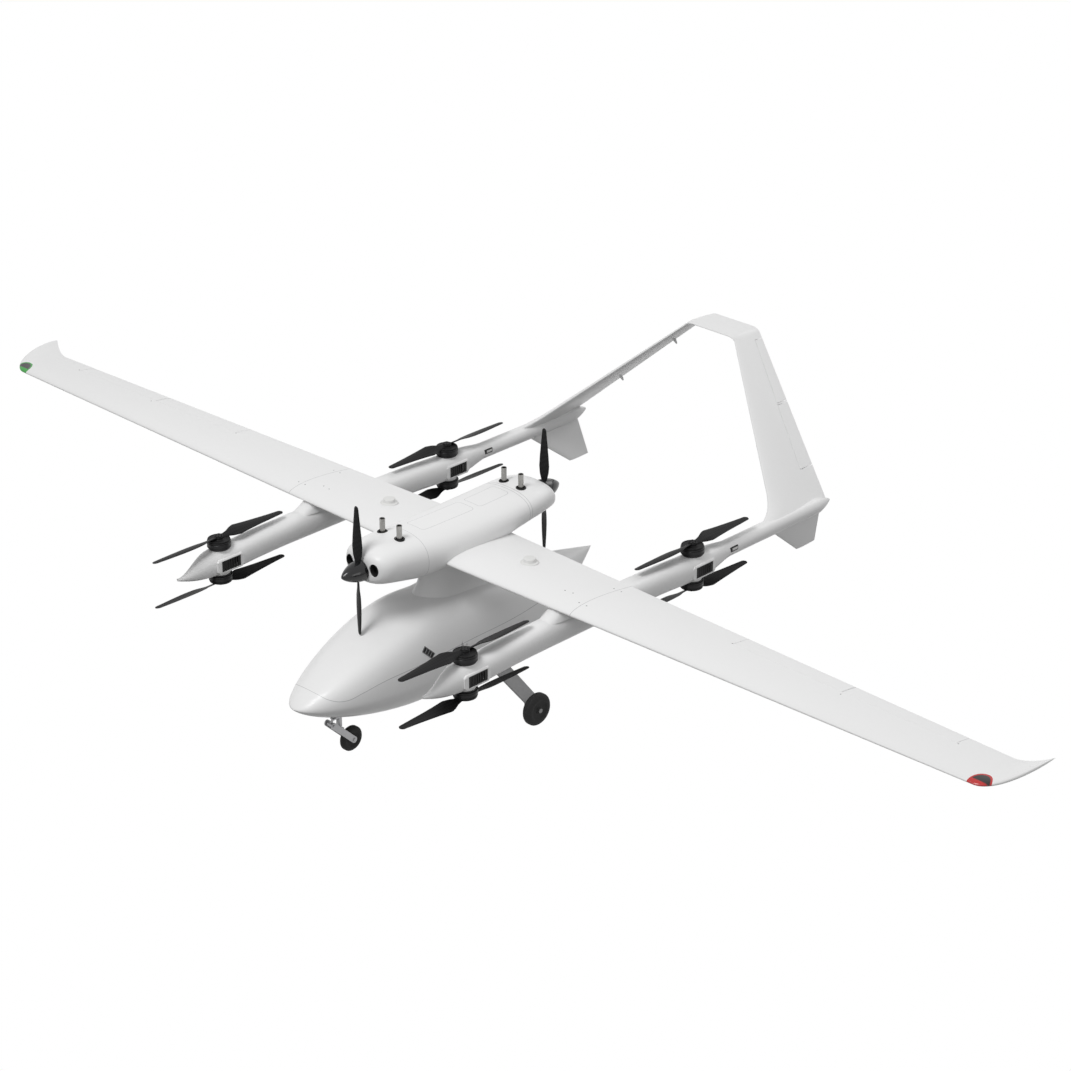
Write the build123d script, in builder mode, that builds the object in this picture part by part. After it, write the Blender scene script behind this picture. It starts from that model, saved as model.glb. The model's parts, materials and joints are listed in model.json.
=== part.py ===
from build123d import *

import math
import os
from dataclasses import dataclass
from typing import Callable

import numpy as np

# Twin-boom fixed-wing drone that takes off on eight lift propellers and cruises on two piston engines.
# Millimetres. x points to port (the aircraft's left), y points aft and z points up from the ground.
# The model is laid out about the lift datum, the point on the ground midway between the four lift shafts.
# Every piece is moved to the middle of the footprint as it is saved. Sections are drawn on upright planes
# whose sketch x is the aircraft's x and whose sketch y is its height.

os.makedirs("parts", exist_ok=True)

# ---------------------------------------------------------------- lift system
LIFT_HALF_PITCH = 720.0  # lift shafts ahead of and behind the datum
BOOM_X = 790.0  # booms and lift shafts either side of the centreline
LIFT_PROP_RADIUS = 381.0
LIFT_PROP_PITCH = 250.0
UPPER_PROP_Z = 811.0
LOWER_PROP_Z = 589.0
MOTOR_STACK = 50.0  # motor pad to the middle of its propeller
MOTOR_RADIUS = 55.0
MOTOR_BASE_HEIGHT = 6.0
MOTOR_WALL = 5.0
STATOR_RADIUS = 46.0
STATOR_TOP = 28.0
BELL_SKIRT_GAP = 1.5
BELL_TOP = 38.0
BELL_BOSS_RADIUS = 16.0
PROP_HUB_HALF_DEPTH = 6.0
LIFT_HUB_RADIUS = 22.0
CLAMP_RADIUS = 19.0
CLAMP_DEPTH = 4.0
MOTOR_SHAFT_RADIUS = 6.0
BLADE_STEEPEST = 28.0  # twist limit at the blade roots
RUNNING_CLEARANCE = 0.05

# ---------------------------------------------------------------- wing
WING_Z = 821.0
HALF_SPAN = 3136.0
TIP_START = 2988.0
PANEL_JOINT = 900.0
ROOT_LEADING_Y = -217.0
ROOT_CHORD = 440.0
OUTER_LEADING_Y = -153.0
OUTER_CHORD = 274.0
WING_SECTION = "1412"
TIP_CHORD = 46.0
TIP_LEADING_Y = 138.0
TIP_RISE = 35.0
CAVITY_START = 0.09  # share of the chord where the lightening cavity begins
CAVITY_LENGTH = 0.60  # share of the chord that the cavity spans
CAVITY_DEPTH = 0.78  # cavity thickness over section thickness
JOINER_RADIUS = 17.0
JOINER_WALL = 2.0
JOINER_HALF_LENGTH = 1300.0
JOINER_Y = -82.0
JOINER_Z = 824.5
JOINER_CLEARANCE = 0.1
FLAP_START = 1591.0
AILERON_START = 2182.0
AILERON_END = 2765.0
SURFACE_RIB = 5.0  # wing rib left between flap and aileron
HINGE_SHARE = 0.74  # hinge line as a share of the chord
SURFACE_GAP = 1.5
HINGE_PIN_RADIUS = 2.0
HINGE_PIN_BURY = 14.0
NAV_LIGHT_X = 3012.0
NAV_LIGHT_HALF_LENGTH = 50.0
NAV_LIGHT_DEPTH = 72.0
ANTENNA_X = 450.0
ANTENNA_Y = 18.0
ANTENNA_BASE_RADIUS = 41.5
ANTENNA_CAP_RADIUS = 28.0
ANTENNA_TOP_Z = 869.0

# ---------------------------------------------------------------- fuselage
NOSE_Y = -995.0
SHOULDER_Y = -364.0
WAIST_Y = 72.0
TAIL_TIP_Y = 898.0
FUSELAGE_HALF_WIDTH = 222.0
BELT_Z = 333.0
FUSELAGE_TOP_Z = 616.0
FUSELAGE_BOTTOM_Z = 148.0
TAIL_TIP_Z = 476.0
FUSELAGE_WALL = 3.5
SEAM_Z = 415.0
FLOOR_THICKNESS = 5.0
VENT_Y = -380.0
VENT_Z = 460.0
VENT_LENGTH = 72.0
VENT_WIDTH = 30.0
VENT_LEAN = 45.0  # forward lean of the flank vents
PAD_HALF_WIDTH = 80.0
PAD_Y = -150.0
PAD_DROP = 6.0
PAD_BOLT_SPACING = 120.0
PAD_BOLT_RADIUS = 2.5
PAD_BOLT_DEPTH = 14.0

# ---------------------------------------------------------------- nacelle, pylon and engines
NACELLE_WALL = 3.0
NACELLE_FACE = 30.0  # solid depth of the rounded front and rear faces
COWL_JOINT_Y = 317.0
FRONT_SHAFT_Z = 865.0
REAR_SHAFT_Z = 875.0
FRONT_COWL_Y = -574.0
REAR_COWL_Y = 558.0
SPINNER_GAP = 3.0
SPINNER_RADIUS = 50.0
SPINNER_LENGTH = 116.0
SPINNER_WALL = 2.5
SPINNER_BACKPLATE = 3.0
SPINNER_SLOT_HALF_WIDTH = 24.0
SPINNER_SLOT_HALF_DEPTH = 13.5
ENGINE_PROP_PITCH = 280.0
FRONT_PROP_RADIUS = 313.0
REAR_PROP_RADIUS = 305.0
ENGINE_HUB_RADIUS = 28.0
ENGINE_HUB_HALF_DEPTH = 14.0
CRANKSHAFT_RADIUS = 8.0
CRANKCASE_RADIUS = 42.0
CYLINDER_RADIUS = 34.0
CYLINDER_REACH = 110.0
FIN_RADIUS = 40.0
FIN_THICKNESS = 3.0
FIN_PITCH = 9.0
EXHAUST_X = 54.0
FRONT_EXHAUST_Y = -393.0
REAR_EXHAUST_Y = 369.0
EXHAUST_TOP_Z = 1035.0
EXHAUST_RADIUS = 12.5
EXHAUST_BORE = 10.5
EXHAUST_PORT_RISE = 50.0
EXHAUST_FLANGE_RADIUS = 19.0
GROMMET_RADIUS = 24.0
GROMMET_BORE = 17.0
INTAKE_X = 76.0
INTAKE_Z = 884.0
INTAKE_HALF_WIDTH = 25.0
INTAKE_HALF_HEIGHT = 30.0
FIREWALL_THICKNESS = 6.0
HATCH_HALF_WIDTH = 54.0
HATCHES = ((-252.0, 72.0), (104.0, 295.0))  # front and rear edge of each top hatch
HATCH_SEAT_Z = 950.0

# ---------------------------------------------------------------- booms and tail
BOOM_NOSE_Y = -968.0
BOOM_WALL = 5.0
BOOM_SOLID_NOSE_Y = -850.0
TAIL_TUBE_RADIUS = 39.5
TAIL_TUBE_Z = 705.5
TAIL_TUBE_START_Y = 972.0
TAIL_TUBE_TAPER_Y = 1585.0
BOOM_END_Y = 1694.0
BOOM_TIP_RADIUS = 7.0
BOOM_VENT_OFFSET = 16.0
BOOM_VENT_LENGTH = 112.0
BOOM_VENT_HEIGHT = 54.0
BOOM_VENT_Z = 694.0
BOOM_VENT_THICKNESS = 7.0
LOUVRE_COUNT = 6
TAIL_SECTION = "0010"
TAIL_ROOT_X = 778.0
TAIL_ROOT_Z = 742.0
TAIL_ROOT_LEADING_Y = 1290.0
TAIL_ROOT_CHORD = 380.0
TAIL_CORNER_X = 139.0
TAIL_TOP_Z = 1339.0
TAIL_TOP_LEADING_Y = 1723.0
TAIL_REAR_Y = 1908.0
TAIL_CORNER_RADIUS = 60.0
TAIL_BURY = 32.0
RUDDERVATOR_START = 150.0  # along the leaning panel from its root
RUDDERVATOR_END = 815.0
TAIL_FILLET_REACH = 84.0
RUDDERVATOR_GAP = 2.5
RUDDERVATOR_RIB = 12.0  # space between the two parts of a ruddervator
FIN_TOP_Z = 690.0
FIN_BOTTOM_Z = 485.0
FIN_TOP_X = 790.0
FIN_BOTTOM_X = 738.0
FIN_TOP_LEADING_Y = 1262.0
FIN_TOP_CHORD = 370.0
FIN_BOTTOM_LEADING_Y = 1530.0
FIN_BOTTOM_CHORD = 135.0

# ---------------------------------------------------------------- landing gear
MAIN_GEAR_Y = 81.0
MAIN_WHEEL_X = 432.0
MAIN_WHEEL_RADIUS = 78.0
MAIN_WHEEL_WIDTH = 43.0
MAIN_HUB_RADIUS = 48.0
LEAF_THICKNESS = 10.0
LEAF_Z = 247.0
LEAF_KNEE_X = 118.0
LEAF_FOOT_X = 398.0
LEAF_SLOPE = 25.8
LEAF_ROOT_CHORD = 92.0
LEAF_TIP_CHORD = 72.0
LEAF_FOOT_DROP = 20.0  # below the axle
LEAF_FOOT_BEND = 14.0
LEAF_KNEE_BEND = 60.0
LEAF_CLEARANCE = 1.0
AXLE_RADIUS = 6.0
AXLE_HEAD_RADIUS = 11.0
AXLE_HEAD_DEPTH = 6.0
NOSE_GEAR_Y = -732.0
NOSE_WHEEL_Y = -665.0
NOSE_WHEEL_RADIUS = 59.5
NOSE_WHEEL_WIDTH = 34.0
NOSE_HUB_RADIUS = 34.0
NOSE_STRUT_RADIUS = 13.0
NOSE_STRUT_BORE = 9.5
STEERING_BOSS_WALL = 9.0
NOSE_STRUT_BOTTOM_Z = 150.0
STRUT_HEAD_HEIGHT = 12.0
NOSE_PLUNGER_RADIUS = 6.5
NOSE_LINK_RADIUS = 6.0
NOSE_LINK_TOP_Y = -768.0
FORK_PIVOT_Y = -784.0
FORK_PIVOT_Z = 176.0
FORK_PIVOT_RADIUS = 3.0
FORK_LUG_RADIUS = 8.0
FORK_INNER_X = 19.5
FORK_PLATE = 5.0
FORK_HALF_HEIGHT = 15.0
FORK_CROWN_Z = 134.0
NOSE_AXLE_RADIUS = 5.0

# ---------------------------------------------------------------- worked out from the sizes above
FOOTPRINT_SHIFT = (LIFT_HALF_PITCH + LIFT_PROP_RADIUS - TAIL_REAR_Y) / 2
UPPER_PAD_Z = UPPER_PROP_Z - MOTOR_STACK
LOWER_PAD_Z = LOWER_PROP_Z + MOTOR_STACK
TAIL_RUN = TAIL_ROOT_X - TAIL_CORNER_X
TAIL_CLIMB = TAIL_TOP_Z - TAIL_ROOT_Z
TAIL_TURN = math.degrees(math.atan2(TAIL_CLIMB, TAIL_RUN))
TAIL_CORNER_TANGENT = TAIL_CORNER_RADIUS * math.tan(math.radians(TAIL_TURN / 2))
TAIL_LENGTH = math.hypot(TAIL_RUN, TAIL_CLIMB) - TAIL_CORNER_TANGENT
TAIL_TOP_CHORD = TAIL_REAR_Y - TAIL_TOP_LEADING_Y
SIDES = {"left": 1, "right": -1}
ENDS = {"front": -1, "rear": 1}
ELLIPSE = 0.5523  # handle length that makes a quarter curve elliptical
SHOULDERED = 0.78  # handle length of the full upper quarters of the fuselage
BOXY = 0.66  # handle length of the nacelle and boom sections

# Nacelle rings: distance aft, half-width, bottom height, top height.
NACELLE_RINGS = (
    (FRONT_COWL_Y, 60, 824, 915),
    (-568, 96, 812, 940),
    (-552, 122, 802, 956),
    (-518, 139, 793, 968),
    (-432, 149, 775, 976),
    (-317, 161, 753, 972),
    (-200, 170, 758, 965),
    (0, 172, 765, 963),
    (150, 172, 782, 963),
    (317, 165, 808, 968),
    (420, 156, 818, 972),
    (485, 141, 822, 962),
    (530, 118, 827, 938),
    (550, 90, 834, 916),
    (REAR_COWL_Y, 60, 846, 904),
)

# Boom rings: distance aft, half-width, bottom height, top height, handle length of the quarter curves.
BOOM_RINGS = (
    (BOOM_NOSE_Y, 7, 676, 688, ELLIPSE),
    (-930, 15, 662, 692, ELLIPSE),
    (-885, 26, 648, 716, ELLIPSE),
    (-810, 47, 637, 754, 0.62),
    (-720, 61, 637, 763, BOXY),
    (-630, 61, 638, 765, BOXY),
    (-540, 61, 643, 770, BOXY),
    (-400, 61, 648, 774, BOXY),
    (-200, 61, 649, 776, BOXY),
    (0, 61, 649, 777, BOXY),
    (200, 61, 649, 776, BOXY),
    (400, 61, 648, 774, BOXY),
    (540, 61, 643, 770, BOXY),
    (630, 61, 638, 765, BOXY),
    (720, 61, 637, 763, BOXY),
    (800, 58, 641, 761, BOXY),
    (870, 49, 653, 754, BOXY),
    (930, 42, 663, 747, ELLIPSE),
    (TAIL_TUBE_START_Y, TAIL_TUBE_RADIUS, 666, 745, ELLIPSE),
)

# Parting line of the fuselage on its side view, from ahead of the nose: distance aft, height.
SEAM_POINTS = ((-930, 434), (-907, 399), (-880, 377), (-820, 363), (-740, 380), (-640, 403), (-520, SEAM_Z))

# Pylon outlines at rising heights: height, half-width, front edge, rear edge.
PYLON_OUTLINES = (
    (500, 190, -330, 350),
    (560, 142, -292, 312),
    (620, 104, -256, 276),
    (680, 84, -222, 248),
    (750, 79, -202, 230),
    (835, 80, -196, 220),
)


# ---------------------------------------------------------------- shared helpers
def save(piece, name):
    """Labels a piece, moves it to the middle of the footprint and writes it."""
    piece.part.label = name
    piece.part.move(Location((0, FOOTPRINT_SHIFT, 0)))
    export_step(piece.part, f"parts/{name}.step")


def upright(y, x=0.0):
    """Cross-section plane at a distance aft of the datum."""
    return Plane(origin=(x, y, 0), x_dir=(1, 0, 0), z_dir=(0, -1, 0))


def oval(plane, half_width, low, belt, high, upper_handle, lower_handle):
    """Closed outline of four quarter curves that meet at the belt line, as a face."""
    with BuildSketch(plane) as outline:
        with BuildLine():
            for side, turn in ((1, 1), (-1, -1)):
                rise = high - belt if turn > 0 else low - belt
                handle = upper_handle if turn > 0 else lower_handle
                ends = [
                    (side * half_width, belt),
                    (side * half_width, belt + handle * rise),
                    (side * handle * half_width, belt + rise),
                    (0, belt + rise),
                ]
                Bezier(*ends)
                Bezier(*[(-x, z) for x, z in reversed(ends)])
        make_face()
    return outline.sketch


def lofted(rings, ruled=False):
    """Solid skinned over a row of faces."""
    with BuildPart() as form:
        loft(rings, ruled=ruled)
    return form.part


def rod(start, end, radius):
    """Round bar between two points."""
    direction = Vector(*end) - Vector(*start)
    with BuildPart() as bar:
        with BuildSketch(Plane(origin=start, z_dir=direction)):
            Circle(radius)
        extrude(amount=direction.length)
    return bar.part


def block(low, high):
    """Box between two corners."""
    size = [b - a for a, b in zip(low, high)]
    middle = [(a + b) / 2 for a, b in zip(low, high)]
    with BuildPart() as box:
        with Locations(tuple(middle)):
            Box(*size)
    return box.part


def aerofoil(plane, chord, section, depth=1.0):
    """Wing section whose plane has its origin at the leading edge and its x running aft."""
    with BuildSketch(plane) as outline:
        with BuildLine():
            Airfoil(section, n_points=28, finite_te=True)
        make_face()
        scale(by=(chord, chord * depth, 1))
    return outline.sketch


def half_depth(section, share):
    """Half thickness of a four-digit section, in chords, at a share of the chord."""
    thickness = int(section[2:]) / 100
    curve = 0.2969 * math.sqrt(share) - 0.126 * share - 0.3516 * share**2
    return 5 * thickness * (curve + 0.2843 * share**3 - 0.1015 * share**4)


# ---------------------------------------------------------------- hinged surfaces
@dataclass
class HingedPanel:
    """A lifting panel whose plane has x running aft and y running along the span."""

    plane: Plane
    leading: Callable
    chord: Callable
    section: str

    def hinge(self, span):
        """Point on the hinge line at a distance along the span."""
        aft = self.leading(span) + HINGE_SHARE * self.chord(span)
        return self.plane.from_local_coords((aft, span, 0))

    def nose_radius(self, span):
        """Radius of the round nose, a little over the half thickness, so that the skin trims it flush."""
        return 1.2 * half_depth(self.section, HINGE_SHARE) * self.chord(span)

    def surface_space(self, span_from, span_to, grow):
        """What a hinged surface takes up: all that lies aft of its hinge line, and its round nose."""
        start, end = span_from - grow, span_to + grow
        hinge_aft = [self.leading(s) + HINGE_SHARE * self.chord(s) for s in (start, end)]
        far = max(hinge_aft) + self.chord(start)
        corners = [(hinge_aft[0], start), (hinge_aft[1], end), (far, end), (far, start)]
        direction = self.hinge(end) - self.hinge(start)
        rings = []
        for span in (start, end):
            with BuildSketch(Plane(origin=self.hinge(span), z_dir=direction)) as ring:
                Circle(self.nose_radius(span) + grow)
            rings.append(ring.sketch)
        nose = lofted(rings)
        with BuildPart() as space:
            with BuildSketch(self.plane):
                with BuildLine():
                    Polyline(*corners, close=True)
                make_face()
            extrude(amount=2 * self.nose_radius(start), both=True)
            add(nose)
        return space.part

    def pin(self, span_from, span_to, radius):
        """Round bar along the hinge line, buried in the panel past both ends."""
        along = (self.hinge(span_to) - self.hinge(span_from)).normalized()
        start = self.hinge(span_from) - along * HINGE_PIN_BURY
        end = self.hinge(span_to) + along * HINGE_PIN_BURY
        return rod(tuple(start), tuple(end), radius)


# ---------------------------------------------------------------- wing
def wing_leading(x):
    """Leading edge of the straight-tapered wing at a distance from the centreline."""
    return ROOT_LEADING_Y + (OUTER_LEADING_Y - ROOT_LEADING_Y) * abs(x) / TIP_START


def wing_chord(x):
    """Chord of the straight-tapered wing at a distance from the centreline."""
    return ROOT_CHORD + (OUTER_CHORD - ROOT_CHORD) * abs(x) / TIP_START


def wing_ring(x, start=0.0, length=1.0, depth=1.0):
    """Wing section at x, or the part of it from a share of the chord over a share of the chord."""
    chord = wing_chord(x)
    plane = Plane(origin=(x, wing_leading(x) + start * chord, WING_Z), x_dir=(0, 1, 0), z_dir=(1, 0, 0))
    return aerofoil(plane, length * chord, WING_SECTION, depth / length)


def wing_cavity(x_from, x_to):
    """Lightening cavity between two distances from the centreline."""
    return lofted([wing_ring(x, CAVITY_START, CAVITY_LENGTH, CAVITY_DEPTH) for x in (x_from, x_to)], True)


def tip_ring(share, side):
    """Section of the raked tip: the leading edge sweeps back along an ellipse as the tip turns up."""
    x = TIP_START + share * (HALF_SPAN - TIP_START)
    sweep = 1 - math.sqrt(1 - share**2)
    leading = OUTER_LEADING_Y + (TIP_LEADING_Y - OUTER_LEADING_Y) * sweep
    root_trailing = OUTER_LEADING_Y + OUTER_CHORD
    trailing = root_trailing + (TIP_LEADING_Y + TIP_CHORD - root_trailing) * share**1.6
    z = WING_Z + TIP_RISE * share**2
    plane = Plane(origin=(side * x, leading, z), x_dir=(0, 1, 0), z_dir=(1, 0, 0))
    return aerofoil(plane, trailing - leading, WING_SECTION)


def wing_panel(side):
    """Plane, hinge line and chord of one outer wing panel."""
    camber = 0.0075 * wing_chord(AILERON_START)
    return HingedPanel(
        plane=Plane(origin=(0, 0, WING_Z + camber), x_dir=(0, 1, 0), z_dir=(0, 0, -side)),
        leading=wing_leading,
        chord=wing_chord,
        section=WING_SECTION,
    )


wing_centre_form = lofted([wing_ring(x) for x in (-PANEL_JOINT, 0, PANEL_JOINT)], ruled=True)
joiner_ends = [(x, JOINER_Y, JOINER_Z) for x in (-JOINER_HALF_LENGTH, JOINER_HALF_LENGTH)]
joiner_hole = rod(*joiner_ends, JOINER_RADIUS + JOINER_CLEARANCE)

with BuildPart() as wing_centre_section:
    add(wing_centre_form)
    for side in SIDES.values():
        add(wing_cavity(side * 230, side * (BOOM_X - 90)), mode=Mode.SUBTRACT)
    add(joiner_hole, mode=Mode.SUBTRACT)
save(wing_centre_section, "wing_centre_section")

with BuildPart() as wing_joiner_tube:
    add(rod(*joiner_ends, JOINER_RADIUS))
    add(rod(*joiner_ends, JOINER_RADIUS - JOINER_WALL), mode=Mode.SUBTRACT)
save(wing_joiner_tube, "wing_joiner_tube")

pins = []
for name, side in SIDES.items():
    panel = wing_panel(side)
    surfaces = {"flap": (FLAP_START, AILERON_START - SURFACE_RIB), "aileron": (AILERON_START, AILERON_END)}
    straight = lofted([wing_ring(side * x) for x in (PANEL_JOINT, TIP_START)], ruled=True)
    tip = lofted([tip_ring(share, side) for share in (0, 0.35, 0.65, 0.85, 0.96, 1)])
    cavity = wing_cavity(side * (JOINER_HALF_LENGTH + 10), side * (TIP_START - NAV_LIGHT_HALF_LENGTH - 20))
    bore_start = (side * (PANEL_JOINT - 1), JOINER_Y, JOINER_Z)
    bore_end = (side * (JOINER_HALF_LENGTH + 20), JOINER_Y, JOINER_Z)
    bore = rod(bore_start, bore_end, JOINER_RADIUS + JOINER_CLEARANCE)
    pin_hole = panel.pin(FLAP_START, AILERON_END, HINGE_PIN_RADIUS + RUNNING_CLEARANCE)
    pins.append(panel.pin(FLAP_START, AILERON_END, HINGE_PIN_RADIUS))

    with BuildPart() as lens_space:
        with BuildSketch(Plane.XY.offset(WING_Z - 40)):
            with Locations((side * NAV_LIGHT_X, OUTER_LEADING_Y)):
                Ellipse(NAV_LIGHT_HALF_LENGTH, NAV_LIGHT_DEPTH)
        extrude(amount=80)

    with BuildPart() as panel_form:
        add(straight)
        add(tip)

    with BuildPart() as outer_wing:
        add(panel_form.part)
        add(cavity, mode=Mode.SUBTRACT)
        add(bore, mode=Mode.SUBTRACT)
        add(lens_space.part, mode=Mode.SUBTRACT)
        for start, end in surfaces.values():
            add(panel.surface_space(start, end, SURFACE_GAP), mode=Mode.SUBTRACT)
        add(pin_hole, mode=Mode.SUBTRACT)
    save(outer_wing, f"outer_wing_{name}")

    with BuildPart() as nav_light:
        add(panel_form.part)
        add(lens_space.part, mode=Mode.INTERSECT)
    save(nav_light, f"nav_light_{name}")

    for surface, (start, end) in surfaces.items():
        with BuildPart() as control_surface:
            add(straight)
            add(panel.surface_space(start, end, 0), mode=Mode.INTERSECT)
            add(pin_hole, mode=Mode.SUBTRACT)
        save(control_surface, f"{surface}_{name}")

antenna_profile = [
    (0, ANTENNA_TOP_Z),
    (ANTENNA_CAP_RADIUS - 3, ANTENNA_TOP_Z),
    (ANTENNA_CAP_RADIUS, ANTENNA_TOP_Z - 3),
    (ANTENNA_CAP_RADIUS, ANTENNA_TOP_Z - 14),
    (ANTENNA_BASE_RADIUS - 1, ANTENNA_TOP_Z - 19),
    (ANTENNA_BASE_RADIUS, ANTENNA_TOP_Z - 21),
    (ANTENNA_BASE_RADIUS, WING_Z),
    (0, WING_Z),
]
with BuildPart() as gps_antennas:
    for side in SIDES.values():
        with BuildSketch(upright(ANTENNA_Y, side * ANTENNA_X)):
            with BuildLine():
                Polyline(*antenna_profile, close=True)
            make_face()
        revolve(axis=Axis((side * ANTENNA_X, ANTENNA_Y, 0), (0, 0, 1)))
    add(wing_centre_form, mode=Mode.SUBTRACT)
save(gps_antennas, "gps_antennas")


# ---------------------------------------------------------------- fuselage
def fuselage_ring(y, inset=0.0):
    """Fuselage section at y. Ahead of the shoulder the outlines close on the nose as superellipses,
    and behind the waist they run up to the tail tip."""
    width, top, bottom, belt, handle = FUSELAGE_HALF_WIDTH, FUSELAGE_TOP_Z, FUSELAGE_BOTTOM_Z, BELT_Z, SHOULDERED
    if y < SHOULDER_Y:
        u = (SHOULDER_Y - y) / (SHOULDER_Y - NOSE_Y)
        width *= (1 - u**1.93) ** (1 / 1.93)
        top = belt + (top - belt) * (1 - u**1.23) ** (1 / 1.23)
        bottom = belt - (belt - bottom) * (1 - u**1.41) ** (1 / 1.41)
        handle += (ELLIPSE - SHOULDERED) * u**3
    elif y > WAIST_Y:
        v = (y - WAIST_Y) / (TAIL_TIP_Y - WAIST_Y)
        width *= 1 - v**1.8
        belt += (TAIL_TIP_Z - belt) * v**1.7
        top += (TAIL_TIP_Z - top) * v**1.15
        bottom += (TAIL_TIP_Z - bottom) * v**1.7
        handle += (ELLIPSE - SHOULDERED) * v
    return oval(upright(y), width - inset, bottom + inset, belt, top - inset, handle, ELLIPSE)


def fuselage_stations(front, back):
    """Section positions between two shares of nose and tail, crowded towards the nose."""
    nose = [SHOULDER_Y - (SHOULDER_Y - NOSE_Y) * math.sin(math.radians(a)) for a in range(front, 0, -9)]
    middle = [SHOULDER_Y, -150.0, WAIST_Y]
    tail = [WAIST_Y + (TAIL_TIP_Y - WAIST_Y) * k / 10 for k in range(1, back)]
    return nose + middle + tail


fuselage_nose = Vertex(0, NOSE_Y, BELT_Z)
fuselage_tail = Vertex(0, TAIL_TIP_Y, TAIL_TIP_Z)
fuselage_form = lofted(
    [fuselage_nose] + [fuselage_ring(y) for y in fuselage_stations(81, 10)] + [fuselage_tail]
)
fuselage_room = lofted([fuselage_ring(y, FUSELAGE_WALL) for y in fuselage_stations(63, 8)])


# All that lies above the parting line, which climbs over the nose.
with BuildPart() as above_seam:
    with BuildSketch(Plane.YZ):
        with BuildLine():
            seam = Spline(*SEAM_POINTS)
            past_tail, ceiling = TAIL_TIP_Y + 20, FUSELAGE_TOP_Z + 20
            corners = [(past_tail, SEAM_POINTS[-1][1]), (past_tail, ceiling), (NOSE_Y - 20, ceiling)]
            Polyline(seam @ 1, *corners, seam @ 0)
        make_face()
    extrude(amount=300, both=True)


def vent_space(side):
    """Rounded block that stands square to the flank where the side vent sits."""
    section = math.atan2(VENT_Z - BELT_Z, FUSELAGE_TOP_Z - BELT_Z)
    outward = (side * math.cos(section / 1.6), 0, math.sin(section / 1.6))
    with BuildPart() as space:
        with BuildSketch(Plane(origin=(side * 212, VENT_Y, VENT_Z), x_dir=(0, 1, 0), z_dir=outward)):
            RectangleRounded(VENT_WIDTH, VENT_LENGTH, 5, rotation=side * VENT_LEAN)
        extrude(amount=40, both=True)
    return space.part


vent_spaces = [vent_space(side) for side in SIDES.values()]
pad_low = (-PAD_HALF_WIDTH, PAD_Y - PAD_HALF_WIDTH, FUSELAGE_BOTTOM_Z - PAD_DROP)
pad_high = (PAD_HALF_WIDTH, PAD_Y + PAD_HALF_WIDTH, FUSELAGE_BOTTOM_Z + 2 * PAD_BOLT_DEPTH)
floor_z = LEAF_Z + LEAF_THICKNESS / 2
strut_top = floor_z + FLOOR_THICKNESS + STRUT_HEAD_HEIGHT


def leaf_form(thickness, grow):
    """Main gear spring: a flat run under the floor, two sloping legs and two upright feet, tapered in plan."""
    drop = (LEAF_FOOT_X - LEAF_KNEE_X) * math.tan(math.radians(LEAF_SLOPE))
    half_line = [
        (LEAF_KNEE_X, LEAF_Z),
        (LEAF_FOOT_X, LEAF_Z - drop),
        (LEAF_FOOT_X, MAIN_WHEEL_RADIUS - LEAF_FOOT_DROP),
    ]
    points = [(-x, z) for x, z in reversed(half_line)] + half_line
    root, tip = LEAF_ROOT_CHORD / 2 + grow, LEAF_TIP_CHORD / 2 + grow
    plan = [(-500, -tip), (-LEAF_KNEE_X, -root), (LEAF_KNEE_X, -root), (500, -tip)]
    plan += [(-x, -y) for x, y in plan]
    with BuildPart() as leaf:
        with BuildSketch(upright(MAIN_GEAR_Y)):
            with BuildLine() as line:
                FilletPolyline(*points, radius=[LEAF_FOOT_BEND, LEAF_KNEE_BEND, LEAF_KNEE_BEND, LEAF_FOOT_BEND])
            trace(line.line, line_width=thickness)
        extrude(amount=LEAF_ROOT_CHORD, both=True)
        with BuildSketch(Plane.XY.offset(0)) as outline:
            with Locations((0, MAIN_GEAR_Y)):
                Polygon(*plan, align=None)
        extrude(amount=400, mode=Mode.INTERSECT)
    return leaf.part


leaf = leaf_form(LEAF_THICKNESS, 0.0)
leaf_slot = leaf_form(LEAF_THICKNESS + 2 * LEAF_CLEARANCE, LEAF_CLEARANCE)


with BuildPart() as fuselage_cover:
    add(fuselage_form)
    add(fuselage_room, mode=Mode.SUBTRACT)
    add(above_seam.part, mode=Mode.INTERSECT)
    for space in vent_spaces:
        add(space, mode=Mode.SUBTRACT)
save(fuselage_cover, "fuselage_cover")

# The tub is hollow above and below its equipment floor. The steering boss and the payload pad's
# backing stand in the lower hollow.
with BuildPart() as upper_hollow:
    add(fuselage_room)
    add(block((-300, -1000, floor_z + FLOOR_THICKNESS), (300, 900, 700)), mode=Mode.INTERSECT)

with BuildPart() as lower_hollow:
    add(fuselage_room)
    add(block((-300, -1000, 0), (300, 900, floor_z)), mode=Mode.INTERSECT)
    with BuildSketch():
        with Locations((0, NOSE_GEAR_Y)):
            Circle(NOSE_STRUT_RADIUS + STEERING_BOSS_WALL)
    extrude(amount=floor_z, mode=Mode.SUBTRACT)
    add(block(pad_low, pad_high), mode=Mode.SUBTRACT)
    add(leaf_slot)
    add(block((-500, -1000, floor_z), (500, 900, 700)), mode=Mode.SUBTRACT)

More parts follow.
